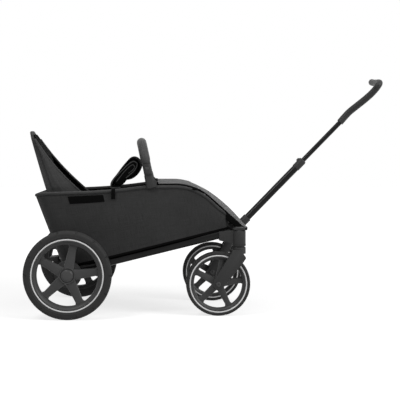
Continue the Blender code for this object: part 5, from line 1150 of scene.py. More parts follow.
@dataclass
class Wheel:
    """One wheel: tyre, bright ring, moulded centre and, at the rear, its button."""

    sizes: WheelSizes
    label: str
    side: float
    spokes: int = 5
    slots: int = 12
    bulge: float = 0.002
    ring_width: float = 0.0044
    ring_seat: float = 0.0028
    ring_proud: float = 0.0006
    gap: float = 0.0003
    notch: float = 0.0042

    def __post_init__(self) -> None:
        """Work out the wheel's middle and its body's name."""
        s = self.sizes
        self.centre = Vector((s.centre_x, self.side * s.track_half, s.radius))
        self.axis = Vector((0.0, self.side, 0.0))
        self.body = f"{s.kind}_wheel_{self.label}"

    def dress(self, form: Form, name: str, finish: Finish, node: str, sharp: float) -> None:
        """Make a piece of the wheel that stands for one of its CAD nodes."""
        nodes = (f"{self.sizes.kind}_{node}_{self.label}",)
        form.piece(f"{self.body}_{name}", finish, self.body, nodes, sharp)

    def tyre_profile(self) -> list[tuple[float, float, float]]:
        """Return the tyre's section: radius, distance outwards and the share of a notch's depth."""
        s = self.sizes
        face = s.width / 2.0
        bead = face - self.bulge - self.ring_seat
        groove = s.seat + self.ring_width + 4.0 * self.gap
        wall = s.radius - groove
        side = [(groove + share * wall, face - back, cut) for share, back, cut in (
            (0.0, self.bulge, 0.0), (0.12, 0.0009, 0.0), (0.2, 0.0003, 0.0), (0.22, -0.0001, 0.0),
            (0.29, -0.0001, 0.0), (0.31, 0.0003, 0.0), (0.5, 0.0, 0.1), (0.66, 0.0004, 0.6),
            (0.8, 0.002, 1.0), (0.9, 0.0046, 1.0), (0.962, 0.008, 1.0), (0.99, 0.0115, 0.8))]
        side += [(s.radius - deep, face - back, 0.0) for deep, back in (
            (0.0, 0.0145), (0.0, 0.016), (0.0016, 0.0164), (0.0016, 0.018), (0.0, 0.0184))]
        outer = [(s.seat + self.gap, bead, 0.0), (groove, bead, 0.0)] + side
        inner = [(r, -a, cut) for r, a, cut in reversed(side)]
        inner.append((s.seat + self.gap, -face + self.bulge, 0.0))
        return outer + inner

    def tyre(self) -> None:
        """Make the tyre from one lug's share, turned round the wheel."""
        profile = self.tyre_profile()
        step = 2.0 * math.pi / self.sizes.lugs
        places = (0.0, 0.09, 0.18, 0.27, 0.36, 0.43, 0.452, 0.462,
                  0.538, 0.548, 0.57, 0.64, 0.73, 0.82, 0.91, 1.0)
        rings = []
        for share in places:
            angle = (share - 0.5) * step
            inside = 1.0 if 0.46 < share < 0.54 else 0.0
            ring = []
            for radius, along, cut in profile:
                deep = self.notch * cut * inside
                r = radius - deep * 0.8
                a = along - math.copysign(deep * 0.5, along)
                ring.append(Vector((r * math.cos(angle), -r * math.sin(angle), a)))
            rings.append(ring)
        form = Form.loft(rings, True, False, False)
        bmesh.ops.spin(form.mesh, geom=form.mesh.verts[:] + form.mesh.edges[:] + form.mesh.faces[:],
                       cent=(0.0, 0.0, 0.0), axis=(0.0, 0.0, 1.0), dvec=(0.0, 0.0, 0.0),
                       angle=2.0 * math.pi * (self.sizes.lugs - 1) / self.sizes.lugs,
                       steps=self.sizes.lugs - 1, use_duplicate=True)
        form.sew()
        form.face_out()
        form.moved(set_up(self.centre, self.axis))
        self.dress(form, "tyre", RUBBER, "tyre", 38.0)

    def ring(self) -> None:
        """Make the bright ring, softly rounded across its face."""
        s = self.sizes
        low = s.seat + 2.0 * self.gap
        high = low + self.ring_width
        floor = s.width / 2.0 - self.bulge - self.ring_seat + self.gap
        top = floor + self.ring_seat + self.ring_proud
        profile = [(low, floor), (low, top - 0.0008), (low + 0.0006, top - 0.0002),
                   (mix(low, high, 0.5), top), (high - 0.0006, top - 0.0002), (high, top - 0.0008),
                   (high, floor)]
        form = Form.lathe(profile, self.centre, self.axis, 144, True)
        self.dress(form, "ring", BAND, "reflector", 40.0)
        if s.kind == "front":
            face = self.bulge - s.width / 2.0 - 0.0001
            profile = [(low, face), (low + 0.0004, face - 0.001), (high - 0.0004, face - 0.001),
                       (high, face)]
            form = Form.lathe(profile, self.centre, self.axis, 144, True)
            form.piece(f"{self.body}_inner_ring", BAND, self.body)

    def spoke(self, index: int, inner: float) -> Form:
        """Make one spoke: a crowned, tapered blade that flares into hub and rim."""
        s = self.sizes
        blade = s.spoke
        angle = math.radians(blade.start + index * 360.0 / self.spokes)
        out = Vector((math.cos(angle), 0.0, math.sin(angle)))
        across = Vector((-math.sin(angle), 0.0, math.cos(angle)))
        outer = s.window + 0.004
        rings = []
        for step in (0.0, 0.08, 0.18, 0.3, 0.45, 0.6, 0.74, 0.84, 0.9, 0.945, 0.975, 1.0):
            along = mix(max(inner, s.recess), outer, step)
            share = (along - inner) / (outer - inner)
            near_rim = max(0.0, 1.0 - (outer - 0.004 - along) / 0.012)
            near_hub = max(0.0, 1.0 - (along - inner) / 0.016)
            flare = blade.flare * (near_rim ** 2.2 + 0.5 * near_hub ** 2)
            half = mix(blade.root, blade.tip, share) / 2.0 + flare
            face = mix(blade.dish, 0.0, ease(0.0, 0.75, share)) + blade.depth / 2.0
            edge = min(0.0034, 0.3 * half)
            outline = [(half, face - blade.depth), (half, face - edge),
                       (half - 0.3 * edge, face - 0.45 * edge), (half - edge, face - 0.12 * edge),
                       (half * 0.4, face + 0.0002), (0.0, face + 0.0004)]
            outline += [(-a, b) for a, b in reversed(outline[:-1])]
            middle = self.centre + out * along
            rings.append([middle + across * a + self.axis * b for a, b in outline])
        return Form.loft(rings)

    def centre_moulding(self) -> None:
        """Make the rim, hub and spokes in one body."""
        s = self.sizes
        flange = s.width / 2.0 - 0.003
        lip = s.seat - s.window
        half = [(s.seat, flange - 0.001), (s.seat - 0.0006, flange + 0.0006)]
        half += [(s.seat - share * lip, flange + up) for share, up in (
            (0.2, 0.0012), (0.32, 0.0006), (0.4, -0.001), (0.74, -0.0032))]
        half += [(s.window + 0.0012, flange - 0.004), (s.window, flange - 0.0056),
                 (s.window - 0.0012, 0.003)]
        profile = half + [(r, -a) for r, a in reversed(half)]
        ring = Form.lathe(profile, self.centre, self.axis, 120, True)
        profile = [(0.0, s.hub[0][1]), *s.hub, (0.0, s.hub[-1][1])]
        hub = Form.lathe(profile, self.centre, self.axis, 60)
        inner = s.spoke.root / 2.0 / math.tan(math.pi / self.spokes) * 0.55
        parts = [self.spoke(i, inner) for i in range(self.spokes)]
        body = ring.united(hub, *parts)
        if s.kind == "rear":
            body = body.cut(*[self.slot(i) for i in range(self.slots)])
        bore = Form.rod(s.bore, -0.1, 0.1, self.centre, self.axis, 32)
        body = body.cut(bore)
        body.map_by_facing()
        self.dress(body, "centre", WHEEL_MOULD, "rim", 34.0)

    def slot(self, index: int) -> Form:
        """Make the cutter for one of the brake pin's slots in the inner flange."""
        turn = Matrix.Rotation(math.pi + index * 2.0 * math.pi / self.slots, 4, "Y")
        form = Form.block((0.031, -0.034, -0.0058), (0.044, -0.022, 0.0058), 0.0012, 2)
        flip = Matrix.Diagonal((1.0, self.side, 1.0, 1.0))
        return form.moved(Matrix.Translation(self.centre) @ turn @ flip)

    def button(self) -> None:
        """Make the rear hub's domed release button with a ring groove."""
        profile = [(0.0, 0.0123), (0.0209, 0.0123), (0.0213, 0.0127), (0.0213, 0.0151),
                   (0.0208, 0.0159), (0.0198, 0.0163), (0.019, 0.0158), (0.0184, 0.0158),
                   (0.0176, 0.0166), (0.014, 0.0178), (0.009, 0.0185), (0.0045, 0.0187),
                   (0.0, 0.0188)]
        node = f"hub_button_{self.label}"
        form = Form.lathe(profile, self.centre, self.axis, 72)
        form.piece(f"{node}_cap", HUB_CAP, node, (node,), 40.0)

    def build(self) -> None:
        """Make every piece of the wheel."""
        self.tyre()
        self.ring()
        self.centre_moulding()
        if self.sizes.kind == "rear":
            self.button()


# Casters and lower frame


@dataclass
class Caster:
    """One swivelling front fork with its housing and axle bolt."""

    label: str
    side: float
    swivel_x: float = 0.587
    top: float = 0.2375
    crown_radius: float = 0.0235
    crown_drop: float = 0.023
    leg_gap: float = 0.022
    leg_thick: float = 0.009
    end_radius: float = 0.021
    tyre_gap: float = 0.005
    bolt_hole: float = 0.0053
    stem_radius: float = 0.0074
    stem_top: float = 0.281
    # Heights of the housing's band of painted seam shade.
    seam: tuple[float, float] = (0.2452, 0.247)
    cap_half: float = 0.019
    cap_outline: Profile = (
        (0.568, 0.2963), (0.609, 0.2963), (0.6098, 0.299), (0.602, 0.3052), (0.576, 0.3062),
        (0.568, 0.3015))
    wheel: WheelSizes = FRONT_WHEEL

    def leg_outline(self, shoulder: float) -> Profile:
        """Return a leg's side outline, broad on the outer side and slim inside."""
        axle = (self.wheel.centre_x, self.wheel.radius)
        top = self.top - self.crown_drop * 0.45
        r = self.crown_radius
        outer = self.swivel_x + r * shoulder
        low = top - 0.026 * shoulder
        return [(self.swivel_x - r, top), *arc(axle, self.end_radius, 150.0, 324.0, 20),
                (outer - 0.01, low - 0.015), (outer, low), (self.swivel_x + 0.006, top)]

    def fork(self) -> None:
        """Make the fork: crown, bridge and two legs, cut clear of the tyre."""
        y = self.side * self.wheel.track_half
        outer_face = self.leg_gap + self.leg_thick
        low = self.top - self.crown_drop
        r, deep = self.crown_radius, self.crown_drop
        profile = [(0.0, 0.0), (r, 0.0), (r, deep - 0.0022), (r - 0.0007, deep - 0.0007),
                   (r - 0.0022, deep), (0.0, deep)]
        crown = Form.lathe(profile, (self.swivel_x, y, low), UP, 56)
        rear, aside = self.swivel_x - r + 0.001, outer_face - 0.001
        bridge = Form.block((rear, y - aside, low),
                            (self.swivel_x + 0.012, y + aside, self.top - 0.009), 0.003)
        fork = crown.united(bridge)
        for sign, shoulder in ((1.0, 1.0), (-1.0, 0.35)):
            inner = y + self.side * sign * self.leg_gap
            outer = y + self.side * sign * outer_face
            faces = sorted((inner, outer))
            fork = fork.united(Form.prism(self.leg_outline(shoulder), *faces, 0.004, 2))
        axle = (self.wheel.centre_x, y, self.wheel.radius)
        clear = self.wheel.radius + self.tyre_gap
        arch = Form.rod(clear, -self.leg_gap, self.leg_gap, axle, LEFT, 96)
        bolt = Form.rod(self.bolt_hole, -0.05, 0.05, axle, LEFT, 24)
        fork = fork.cut(arch, bolt)
        stem = Form.rod(self.stem_radius, self.top - 0.004, self.stem_top,
                        (self.swivel_x, y, 0.0), UP, 24)
        fork = fork.united(stem)
        fork.map_by_facing()
        node = f"fork_{self.label}"
        fork.piece(f"{node}_piece", MATT_MOULD, f"caster_{self.label}", (node,), 30.0)

    def bolt(self) -> None:
        """Make the axle bolt with a recess in each head."""
        y = self.side * self.wheel.track_half
        head = self.leg_gap + self.leg_thick + 0.0003
        half = [(radius, head + up) for radius, up in (
            (0.0, 0.0012), (0.003, 0.0012), (0.0034, 0.003), (0.007, 0.003), (0.0082, 0.0024),
            (0.0085, 0.0014), (0.0085, 0.0), (0.005, 0.0))]
        profile = half + [(0.005, 0.0)] + [(r, -a) for r, a in reversed(half)]
        form = Form.lathe(profile, (self.wheel.centre_x, y, self.wheel.radius), LEFT, 36)
        node = f"front_axle_{self.label}"
        form.piece(f"{node}_bolt", HUB_CAP, f"caster_{self.label}", (node,), 30.0)

    def build(self) -> None:
        """Make every piece of the caster."""
        self.fork()
        self.bolt()
        dressed(f"caster_housing_{self.label}", MATT_MOULD, "chassis", 0.0016, 3)
        # A dark band round the housing paints the shade in its seam.
        seam_shade_band(f"caster_housing_{self.label}", "chassis", *self.seam)
        y = self.side * (self.wheel.track_half + 0.001)
        cap = Form.prism(self.cap_outline, y - self.cap_half, y + self.cap_half, 0.0022, 3)
        cap.piece(f"caster_housing_{self.label}_cap", MATT_MOULD, "chassis")
        Wheel(FRONT_WHEEL, self.label, self.side).build()


@dataclass
class LowerFrame:
    """The rails, rear axle, front crossbeam and foot brake."""

    corner: float = 0.0095
    beams: tuple[tuple[str, float, tuple[float, float, float]], ...] = (
        ("rear_axle_beam", 0.014, (0.0, 0.0, 0.15)),
        ("front_crossbeam", 0.013, (0.56, 0.0, 0.275)))

    def rail(self, label: str, side: float) -> None:
        """Make one lower rail as a rounded tube."""
        half_w = HULL.rail_width / 2.0
        half_h = HULL.rail_height / 2.0
        section = []
        for sx, sz, start in ((1, 1, 0.0), (-1, 1, 90.0), (-1, -1, 180.0), (1, -1, 270.0)):
            centre = (sx * (half_w - self.corner), sz * (half_h - self.corner))
            section += arc(centre, self.corner, start, start + 90.0, 6)
        rings = []
        for i in range(13):
            x = mix(HULL.rail_rear_x, HULL.rail_front_x, i / 12.0)
            middle = Vector((x, side * HULL.rail_half(x), HULL.rail_bottom(x) + half_h))
            rings.append([middle + Vector((0.0, a, b)) for a, b in section])
        node = f"lower_rail_{label}"
        Form.loft(rings).piece(f"{node}_tube", FRAME_GLOSS, "chassis", (node,), 40.0)

    def build(self) -> None:
        """Make every piece of the lower frame."""
        for label, side in SIDES:
            self.rail(label, side)
            dressed(f"axle_block_{label}", MATT_MOULD, "chassis", 0.0014, 3)
            dressed(f"brake_pin_{label}", STEEL, f"brake_pin_{label}", 0.0004)
        for node, radius, centre in self.beams:
            y = abs(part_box(node)[0].y)
            tube = Form.rod(radius, -y, y, centre, LEFT, 48)
            tube.piece(f"{node}_tube", FRAME_GLOSS, "chassis", (node,), 40.0)
        dressed("rear_axle", STEEL, "chassis", 0.0004)
        dressed("brake_pedal", MATT_MOULD, "brake_pedal", 0.0016, 3)


# Cloth parts


def sheet_form(upper: Sequence[Ring], lower: Sequence[Ring]) -> Form:
    """Return a closed body between an upper and a lower grid of points."""
    rings = [list(high) + list(reversed(low)) for high, low in zip(upper, lower)]
    return Form.loft(rings)


def layered(rows: Numbers, columns: Numbers,
            point: Callable[[float, float, bool], Vector]) -> Form:
    """Return a closed body whose two faces are grids of points.

    Args:
        rows: The rows' values.
        columns: The columns' values.
        point: Returns the point of a row and column, on the upper face or the lower one.

    Returns:
        The form.
    """
    return sheet_form(*[[[point(row, column, top) for column in columns] for row in rows]
                        for top in (True, False)])


def lining_floor(x: float) -> float:
    """Return the height of the floor board's upper side."""
    return HULL.rail_top(x) + FLOOR_RISE


@dataclass
class Tub:
    """The cloth tub: its walls and base, its lining, the rolled rim and the bindings."""

    count: int = 288
    levels: int = 18
    cloth: float = 0.002
    lining_from: float = 0.0023
    lining_to: float = 0.0038
    slit: float = 0.0006
    bore: float = 0.0051
    binding_height: float = 0.0075
    binding_proud: float = 0.0009
    patch_rise: tuple[float, float] = (0.872, 0.978)
    patch_run: tuple[float, float] = (-0.001, 0.125)

    def pucker(self, loop: list[Vector], index: float, depth: float) -> list[Vector]:
        """Return a loop with the shallow waves that sewing leaves in cloth."""
        middle = Vector((sum(p.x for p in loop) / len(loop), 0.0, 0.0))
        made = []
        for i, point in enumerate(loop):
            out = Vector((point.x - middle.x, point.y, 0.0)).normalized()
            turn = 2.0 * math.pi * i / len(loop)
            wave = math.sin(17.0 * turn + 1.3 * math.sin(5.0 * turn)) * 0.6
            wave += math.sin(41.0 * turn + index) * 0.4
            made.append(point - out * depth * (0.5 + 0.5 * wave))
        return made

    def walls(self, name: str, finish: Finish, outer: float, inner: float) -> bpy.types.Object:
        """Make one layer of the walls and base, as deep as the cloth between two insets."""
        shares = [i / (self.levels - 1) for i in range(self.levels)]
        rings = []
        for inset, order in ((outer, shares), (inner, list(reversed(shares)))):
            for share in order:
                near_seam = max(0.0, 1.0 - share / 0.16) + max(0.0, 1.0 - (1.0 - share) / 0.16)
                loop = HULL.wall(share, inset, self.count)
                rings.append(self.pucker(loop, share, 0.0006 * near_seam))
        form = Form.loft(rings, True, False, True)
        return form.piece(name, finish, "chassis", (), 50.0)

    def roll(self) -> None:
        """Make the padded roll, slit along its seam where the tube went in."""
        outer = [(b, a) for a, b in ellipse(HULL.roll_width, HULL.roll_height, 32, 0.8)]
        start = min((i for i in range(32) if outer[i][1] < 0.0), key=lambda i: outer[i][0])
        outer = [outer[(start - i) % 32] for i in range(32)]
        low = min(a for a, _ in outer)
        bore = [(b, a) for a, b in ellipse(2.0 * self.bore, 2.0 * self.bore, 16)]
        first = min((i for i in range(16) if bore[i][1] > 0.0), key=lambda i: bore[i][0])
        inner = [bore[(first + i) % 16] for i in range(16)]
        section = [(low, -self.slit)] + outer + [(low, self.slit)] + inner
        path = HULL.rim_path(self.count)
        form = Form.sweep(path, section, UP, True)
        form.piece("rim_roll_cloth", ROLL_CLOTH, "chassis", ("rim_roll",), 40.0)

    def patch(self) -> None:
        """Make the bare dark patch that is sewn on the right side, below the roll."""
        layers = []
        chosen: list[int] = []
        for inset in (-0.0014, -0.0002):
            loops = [HULL.wall(mix(*self.patch_rise, i / 10.0), inset, self.count)
                     for i in range(11)]
            chosen = chosen or [i for i, p in enumerate(loops[0])
                                if p.y < 0.0 and self.patch_run[0] < p.x < self.patch_run[1]]
            layers.append([[loop[i] for i in chosen] for loop in loops])
        sheet_form(*layers).piece("side_patch", STRAP, "chassis", (), 50.0)

    def base_binding_and_gap_shade(self) -> None:
        """Make the black tape that binds the base's edge above the rails, which also paints the
        shadow gap between tub and rails.
        """
        high = self.binding_height
        edge, face = -self.binding_proud, -self.binding_proud - 0.0004
        section = [(0.0, 0.001), (0.0, edge), (0.001, face), (high - 0.001, face), (high, edge),
                   (high, 0.001)]
        form = Form.sweep(HULL.wall(0.0, 0.0, self.count), section, UP, True)
        form.piece("base_binding_and_gap_shade", STRAP, "chassis", (), 40.0)

    def build(self) -> None:
        """Make every piece of the tub."""
        side = self.walls("tub_side_cloth", SIDE_CLOTH, 0.0, self.cloth)
        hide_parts("tub_shell")
        lining = self.walls("tub_lining_cloth", LINING_CLOTH, self.lining_from, self.lining_to)
        self.roll()
        self.base_binding_and_gap_shade()
        self.patch()
        # The rim tube takes the painted shade of the inside of the roll.
        dressed("rim_tube", RIM_TUBE_PAINTED_SHADE, "chassis", 0.0)
        dressed("floor_board", MATT_MOULD, "chassis", 0.0012)


@dataclass
class Hood:
    """The crowned cloth cover over the foot space."""

    rear_x: float = 0.308
    nose_x: float = 0.606
    wall: float = 0.004
    crown: float = 0.0095
    swell: float = 0.0095
    swell_start: float = 0.455
    push: float = 0.016
    nose_half: float = 0.15
    notch_half: float = 0.034
    notch_x: float = 0.574
    flap_x: float = 0.418
    flap_slant: float = 0.031
    flap_step: float = 0.0018
    bound_from: float = 0.423
    bound_up: float = 0.0032
    bound_down: float = 0.0029
    # How far the tape's painted shade hangs below the hood's front edge.
    hang: float = 0.016
    rows: int = 109
    columns: int = 61

    def line(self, x: float) -> tuple[float, float]:
        """Return the side edge's height and half width at an X."""
        on_rim = min(x, HULL.rim.front_x - HULL.rim.corner)
        half = HULL.rim_half(on_rim)
        if x > on_rim:
            half = mix(half, self.nose_half, ((x - on_rim) / (self.nose_x - on_rim)) ** 1.5)
        return HULL.rim_height(x), half

    def row(self, x: float, lift: float) -> list[Vector]:
        """Return one row of points across the hood."""
        height, half = self.line(x)
        slope = math.atan2(HULL.rim_height(x + 0.002) - height, 0.002)
        out = Vector((-math.sin(slope), 0.0, math.cos(slope)))
        forward = Vector((math.cos(slope), 0.0, math.sin(slope)))
        rise = (x - self.rear_x) / (self.nose_x - self.rear_x)
        swell = max(0.0, (x - self.swell_start) / (self.nose_x - self.swell_start))
        crown = self.crown + self.swell * math.sin(math.pi * swell)
        seat = 0.0007 + HULL.roll_height / 2.0 * (1.0 - math.cos(slope))
        made = []
        for column in range(self.columns):
            share = -1.0 + 2.0 * column / (self.columns - 1)
            fall = 1.0 - abs(share) ** 2.4
            y = math.copysign(abs(share) ** 0.92, share) * (half + lift)
            past = x - self.flap_x - self.flap_slant * share ** 2
            flap = self.flap_step * (1.0 - ease(-0.001, 0.002, past))
            point = Vector((x, y, height)) + out * (seat + lift + crown * fall + flap)
            made.append(point + forward * self.push * rise ** 3 * fall)
        return made

    def cover(self) -> bpy.types.Object:
        """Make the cover, notched for the handle and clear of the roll."""
        stations = [mix(self.rear_x, self.nose_x, i / (self.rows - 1)) for i in range(self.rows)]
        form = sheet_form(*[[self.row(x, lift) for x in stations] for lift in (self.wall, 0.001)])
        w = self.notch_half
        ahead = self.notch_x + w + 0.08
        outline = [*arc((self.notch_x + w, 0.0), w, 90.0, 270.0, 32), (ahead, -w), (ahead, w)]
        notch = Form.loft([[Vector((x, y, z)) for x, y in outline] for z in (0.24, 0.46)])
        around = ellipse(HULL.roll_width + 0.0012, HULL.roll_height + 0.0012, 24, 0.8)
        section = [(b, a) for a, b in around]
        roll = Form.sweep(HULL.rim_path(200), section, UP, True)
        form = form.cut(notch, roll)
        return form.piece("hood_cloth_cover", HOOD_CLOTH_PAINTED_LIGHT, "chassis", ("hood",), 40.0)

    def tape_and_gap_shade(self) -> None:
        """Make the dark tape round side edges and nose: a binding that also paints the shadow gap
        between hood and roll, hanging lower ahead of the rim as painted shade.
        """
        edge = [self.row(mix(self.bound_from, self.nose_x, i / 44.0), 0.0025)[0] for i in range(45)]
        for point in edge:
            over = 1.0 - ease(self.bound_from, self.bound_from + 0.052, point.x)
            share = 0.21 + 0.77 * over
            point.y -= HULL.roll_width / 2.0 * share + 0.0019 * share ** 3 - 0.0025
            round_off = (1.0 - share ** 2.5) ** 0.4 - 0.992
            point.z += HULL.roll_height / 2.0 * round_off - self.bound_up * over ** 4
        edge += [p for p in self.row(self.nose_x, 0.0025)[1:] if p.y < -self.notch_half - 0.002]

        def section(i: int) -> Profile:
            """Return the tape's section at a point of the edge."""
            x = edge[i].x
            # The hang is painted shade, black tape for the deeper shadow under the hood's front.
            hang = self.hang * ease(0.546, 0.556, x) * (1.0 - 0.75 * ease(0.582, 0.606, x))
            down = self.bound_down + hang
            middle = (self.bound_up - down) / 2.0
            around = ellipse(self.bound_up + down, 0.0034, 14, 0.6)
            return [(a + middle, b + 0.0006) for a, b in around]

        flip = Matrix.Diagonal((1.0, -1.0, 1.0, 1.0))
        form = Form.sweep(edge, section, UP).add(Form.sweep(edge, section, UP).moved(flip))
        form.piece("hood_tape_and_gap_shade", STRAP, "chassis", (), 50.0)

    def rear_tape(self) -> None:
        """Make the tape along the rear edge and the stitches along the flap's seam."""
        edge = [p - Vector((0.0044, 0.0, 0.0)) for p in self.row(self.rear_x, 0.0025)
                if abs(p.y) < 0.1965]
        form = Form.sweep(edge, ellipse(0.0072, 0.0074, 14, 0.6), UP)
        form.piece("hood_rear_tape", STRAP, "chassis", (), 50.0)
        seam = []
        for i in range(2, self.columns - 2):
            share = -1.0 + 2.0 * i / (self.columns - 1)
            x = self.flap_x - 0.006 + self.flap_slant * share ** 2
            seam.append(self.row(x, self.wall + 0.0002)[i])
        row = stitches(seam, 0.0042, 0.003, 0.0008)
        row.piece("hood_flap_stitches", THREAD, "chassis", (), 60.0)

    def build(self) -> None:
        """Make every piece of the hood."""
        cover = self.cover()
        self.tape_and_gap_shade()
        self.rear_tape()


@dataclass
class Backrest:
    """The folding backrest: covered board, channelled pad, side wings and straps."""

    pivot_x: float = 0.006
    lean: float = math.radians(18.9)
    length: float = 0.48
    board: float = 0.007
    gap: float = 0.0004
    top_gap: float = 0.004
    pad: float = 0.025
    pad_start: float = 0.062
    channel: float = 0.005
    shrink: float = 0.003
    taper: float = 0.095
    base_half: float = 0.158
    rim_half: float = 0.165
    top_half: float = 0.074
    top_corner: float = 0.04
    wing_foot: tuple[float, float] = (0.058, 0.409)
    wing_sag: float = 0.0895
    wing_sag_share: float = 0.515
    wing_end: float = 0.88
    wing_seam: tuple[float, float] = (0.72, 0.35)
    strip_reach: tuple[float, float] = (0.8, 0.5)
    wing_cant: float = 0.02
    strap_run: tuple[float, float] = (0.13, 0.34)
    strap_half: float = 0.0125
    strap_thick: float = 0.0016

    def __post_init__(self) -> None:
        """Work out the hinge line's height."""
        self.pivot_z = lining_floor(self.pivot_x) + 0.0075

    def half(self, along: float) -> float:
        """Return the half width at a distance up from the hinge."""
        if along < 0.26:
            return mix(self.base_half, self.rim_half, along / 0.26)
        width = mix(self.rim_half, self.top_half, ((along - 0.26) / (self.length - 0.26)) ** 1.25)
        left = self.length - along
        if left < self.top_corner:
            fall = self.top_corner - left
            width -= self.top_corner - math.sqrt(max(0.0, self.top_corner ** 2 - fall ** 2))
        return width

    def place(self, along: float, forward: float, y: float) -> Vector:
        """Return the point at a place on the leaning backrest."""
        c, s = math.cos(self.lean), math.sin(self.lean)
        return Vector((self.pivot_x - s * along + c * forward, y,
                       self.pivot_z + c * along + s * forward))

    def steps(self, start: float, end: float, count: int) -> list[float]:
        """Return distances up the backrest, closer together at its round top."""
        low = [mix(start, end - self.top_corner, i / (count - 1)) for i in range(count)]
        turns = [math.radians(90.0 * i / 14.0) for i in range(1, 15)]
        return low + [end - self.top_corner * (1.0 - math.sin(turn)) for turn in turns]

    def depth(self, along: float) -> float:
        """Return the pad's full thickness, tapering to a thin top edge."""
        return mix(0.001, self.pad, min(1.0, (self.length - along) / self.taper))

    def settled(self, point: Vector) -> Vector:
        """Return a swollen point kept in the pad's space, with the cross channels pressed in."""
        c, s = math.cos(self.lean), math.sin(self.lean)
        dx, dz = point.x - self.pivot_x, point.z - self.pivot_z
        last = self.length - self.top_gap
        along = clamp(c * dz - s * dx, self.pad_start, last)
        width = self.half(along) - self.gap
        y = clamp(point.y, -width, width)
        rear = self.board / 2.0 + self.gap
        full = self.depth(along)
        lift = clamp(c * dx + s * dz - rear, 0.0, full)
        rise = (along - self.pad_start) / (last - self.pad_start)
        edge = 1.0 - abs(y / width) ** 6
        press = max(0.0, math.cos(3.0 * math.pi * rise)) ** 24
        groove = self.channel * press * edge * full / self.pad
        return self.place(along, rear + lift - groove * ease(0.5 * full, 0.9 * full, lift), y)

    def pad_body(self) -> bpy.types.Object:
        """Make the channelled pad, swollen from a slightly smaller form."""
        rear = self.board / 2.0 + self.gap
        last = self.length - self.top_gap

        def point(along: float, share: float, top: bool) -> Vector:
            """Return a point of the pad's front or rear."""
            rise = (along - self.pad_start) / (last - self.pad_start)
            edge = (1.0 - abs(share) ** 6) * (1.0 - (1.0 - rise) ** 14)
            full = max(0.008, self.depth(along) - self.shrink)
            lift = full * (0.7 + 0.3 * edge) if top else 0.0
            return self.place(along, rear + lift, share * (self.half(along) - self.shrink))

        grid = layered(self.steps(self.pad_start + self.shrink, last, 60), spread(61), point)
        form = plumped(grid, self.settled)
        return form.piece("backrest_pad_cover", LINING_CLOTH, "backrest", ("backrest_pad",), 60.0)

    def wing_front(self, share: float) -> Vector:
        """Return the wing's front edge from inside the tub (0) to its upper end (1)."""
        share *= self.wing_end
        foot = Vector((self.wing_foot[0], 0.0, self.wing_foot[1]))
        top = self.place(self.length + 0.002, 0.002, 0.0)
        run = top - foot
        pull = foot + run * self.wing_sag_share - Vector((run.z, 0.0, -run.x)) * self.wing_sag
        return foot * (1.0 - share) ** 2 + pull * 2.0 * share * (1.0 - share) + top * share ** 2

    def wing_grid(self, side: float, lift: float, rows: int, columns: int) -> list[Ring]:
        """Return one face of a wing as a grid, lifted outwards."""
        def level(z: float, forward: float) -> float:
            """Return how far up the backrest a height lies on a plane ahead of it."""
            return (z - self.pivot_z - forward * math.sin(self.lean)) / math.cos(self.lean)

        grid = []
        for step in range(rows):
            share = step / (rows - 1)
            front = self.wing_front(share)
            along = level(front.z, self.board / 2.0 + self.pad)
            seam = self.board / 2.0 + self.depth(along) * mix(*self.wing_seam, share)
            back = self.place(level(front.z, seam), seam, 0.0)
            row = []
            for column in range(columns):
                part = column / (columns - 1)
                point = back.lerp(front, part)
                belly = 0.004 * math.sin(math.pi * part)
                cant = self.wing_cant * (1.0 - share) * max(0.0, 1.5 * part - 0.5)
                y = self.half(along) + belly - cant
                row.append(Vector((point.x, side * (y + lift), point.z)))
            grid.append(row)
        return grid

    def wing(self, label: str, side: float) -> None:
        """Make one wing with a piped front edge."""
        upper = self.wing_grid(side, 0.004, 49, 25)
        lower = self.wing_grid(side, 0.001, 49, 25)
        form = sheet_form(upper, lower).marked(lambda normal: normal.y * side < 0.0)
        wing = form.piece(f"wing_cloth_{label}", WING_CLOTH, "backrest",
                          (f"backrest_wing_{label}",), 45.0, LINING_CLOTH)
        edge = [(a[-1] + b[-1]) / 2.0 for a, b in zip(upper, lower)]
        form = Form.sweep(edge, ellipse(0.0085, 0.007, 14))
        form.piece(f"wing_piping_{label}", BINDING, "backrest", (), 45.0)

    def side_strip(self, label: str, side: float) -> None:
        """Make the strip of cloth from the board's cover to the wing's seam."""
        def point(along: float, share: float, top: bool) -> Vector:
            """Return a point of the strip's outer or inner face."""
            reach = mix(*self.strip_reach, ease(0.2, self.length, along))
            end = self.board / 2.0 + self.depth(along) * reach
            y = side * (self.half(along) + (0.0009 if top else 0.0002))
            return self.place(along, mix(-self.board / 2.0, end, share), y)

        rows = [mix(self.pad_start + 0.002, self.length - 0.02, i / 48.0) for i in range(49)]
        form = layered(rows, [i / 8.0 for i in range(9)], point)
        form.piece(f"backrest_side_strip_{label}", WING_CLOTH, "backrest", (), 50.0)

    def strap(self, label: str, side: float) -> None:
        """Make one shoulder strap down the pad."""
        front = self.board / 2.0 + self.gap + self.pad + self.gap

        def point(share: float, aside: float, top: bool) -> Vector:
            """Return a point of the strap's front or rear."""
            thick = self.strap_thick if top else 0.0
            forward = front + thick + 0.0006 * math.sin(9.0 * share) ** 2
            y = side * (0.055 + 0.02 * share) + aside * self.strap_half
            return self.place(mix(*self.strap_run, share), forward, y)

        form = layered([i / 39.0 for i in range(40)], (-1.0, 0.0, 1.0), point)
        node = f"shoulder_strap_{label}"
        form.piece(f"{node}_web", STRAP, "backrest", (node,), 40.0)

    def build(self) -> None:
        """Make every piece of the backrest."""
        dressed("backrest_board", WING_CLOTH, "backrest", 0.0016, 3)
        self.pad_body()
        for label, side in SIDES:
            self.wing(label, side)
            self.side_strip(label, side)
            self.strap(label, side)


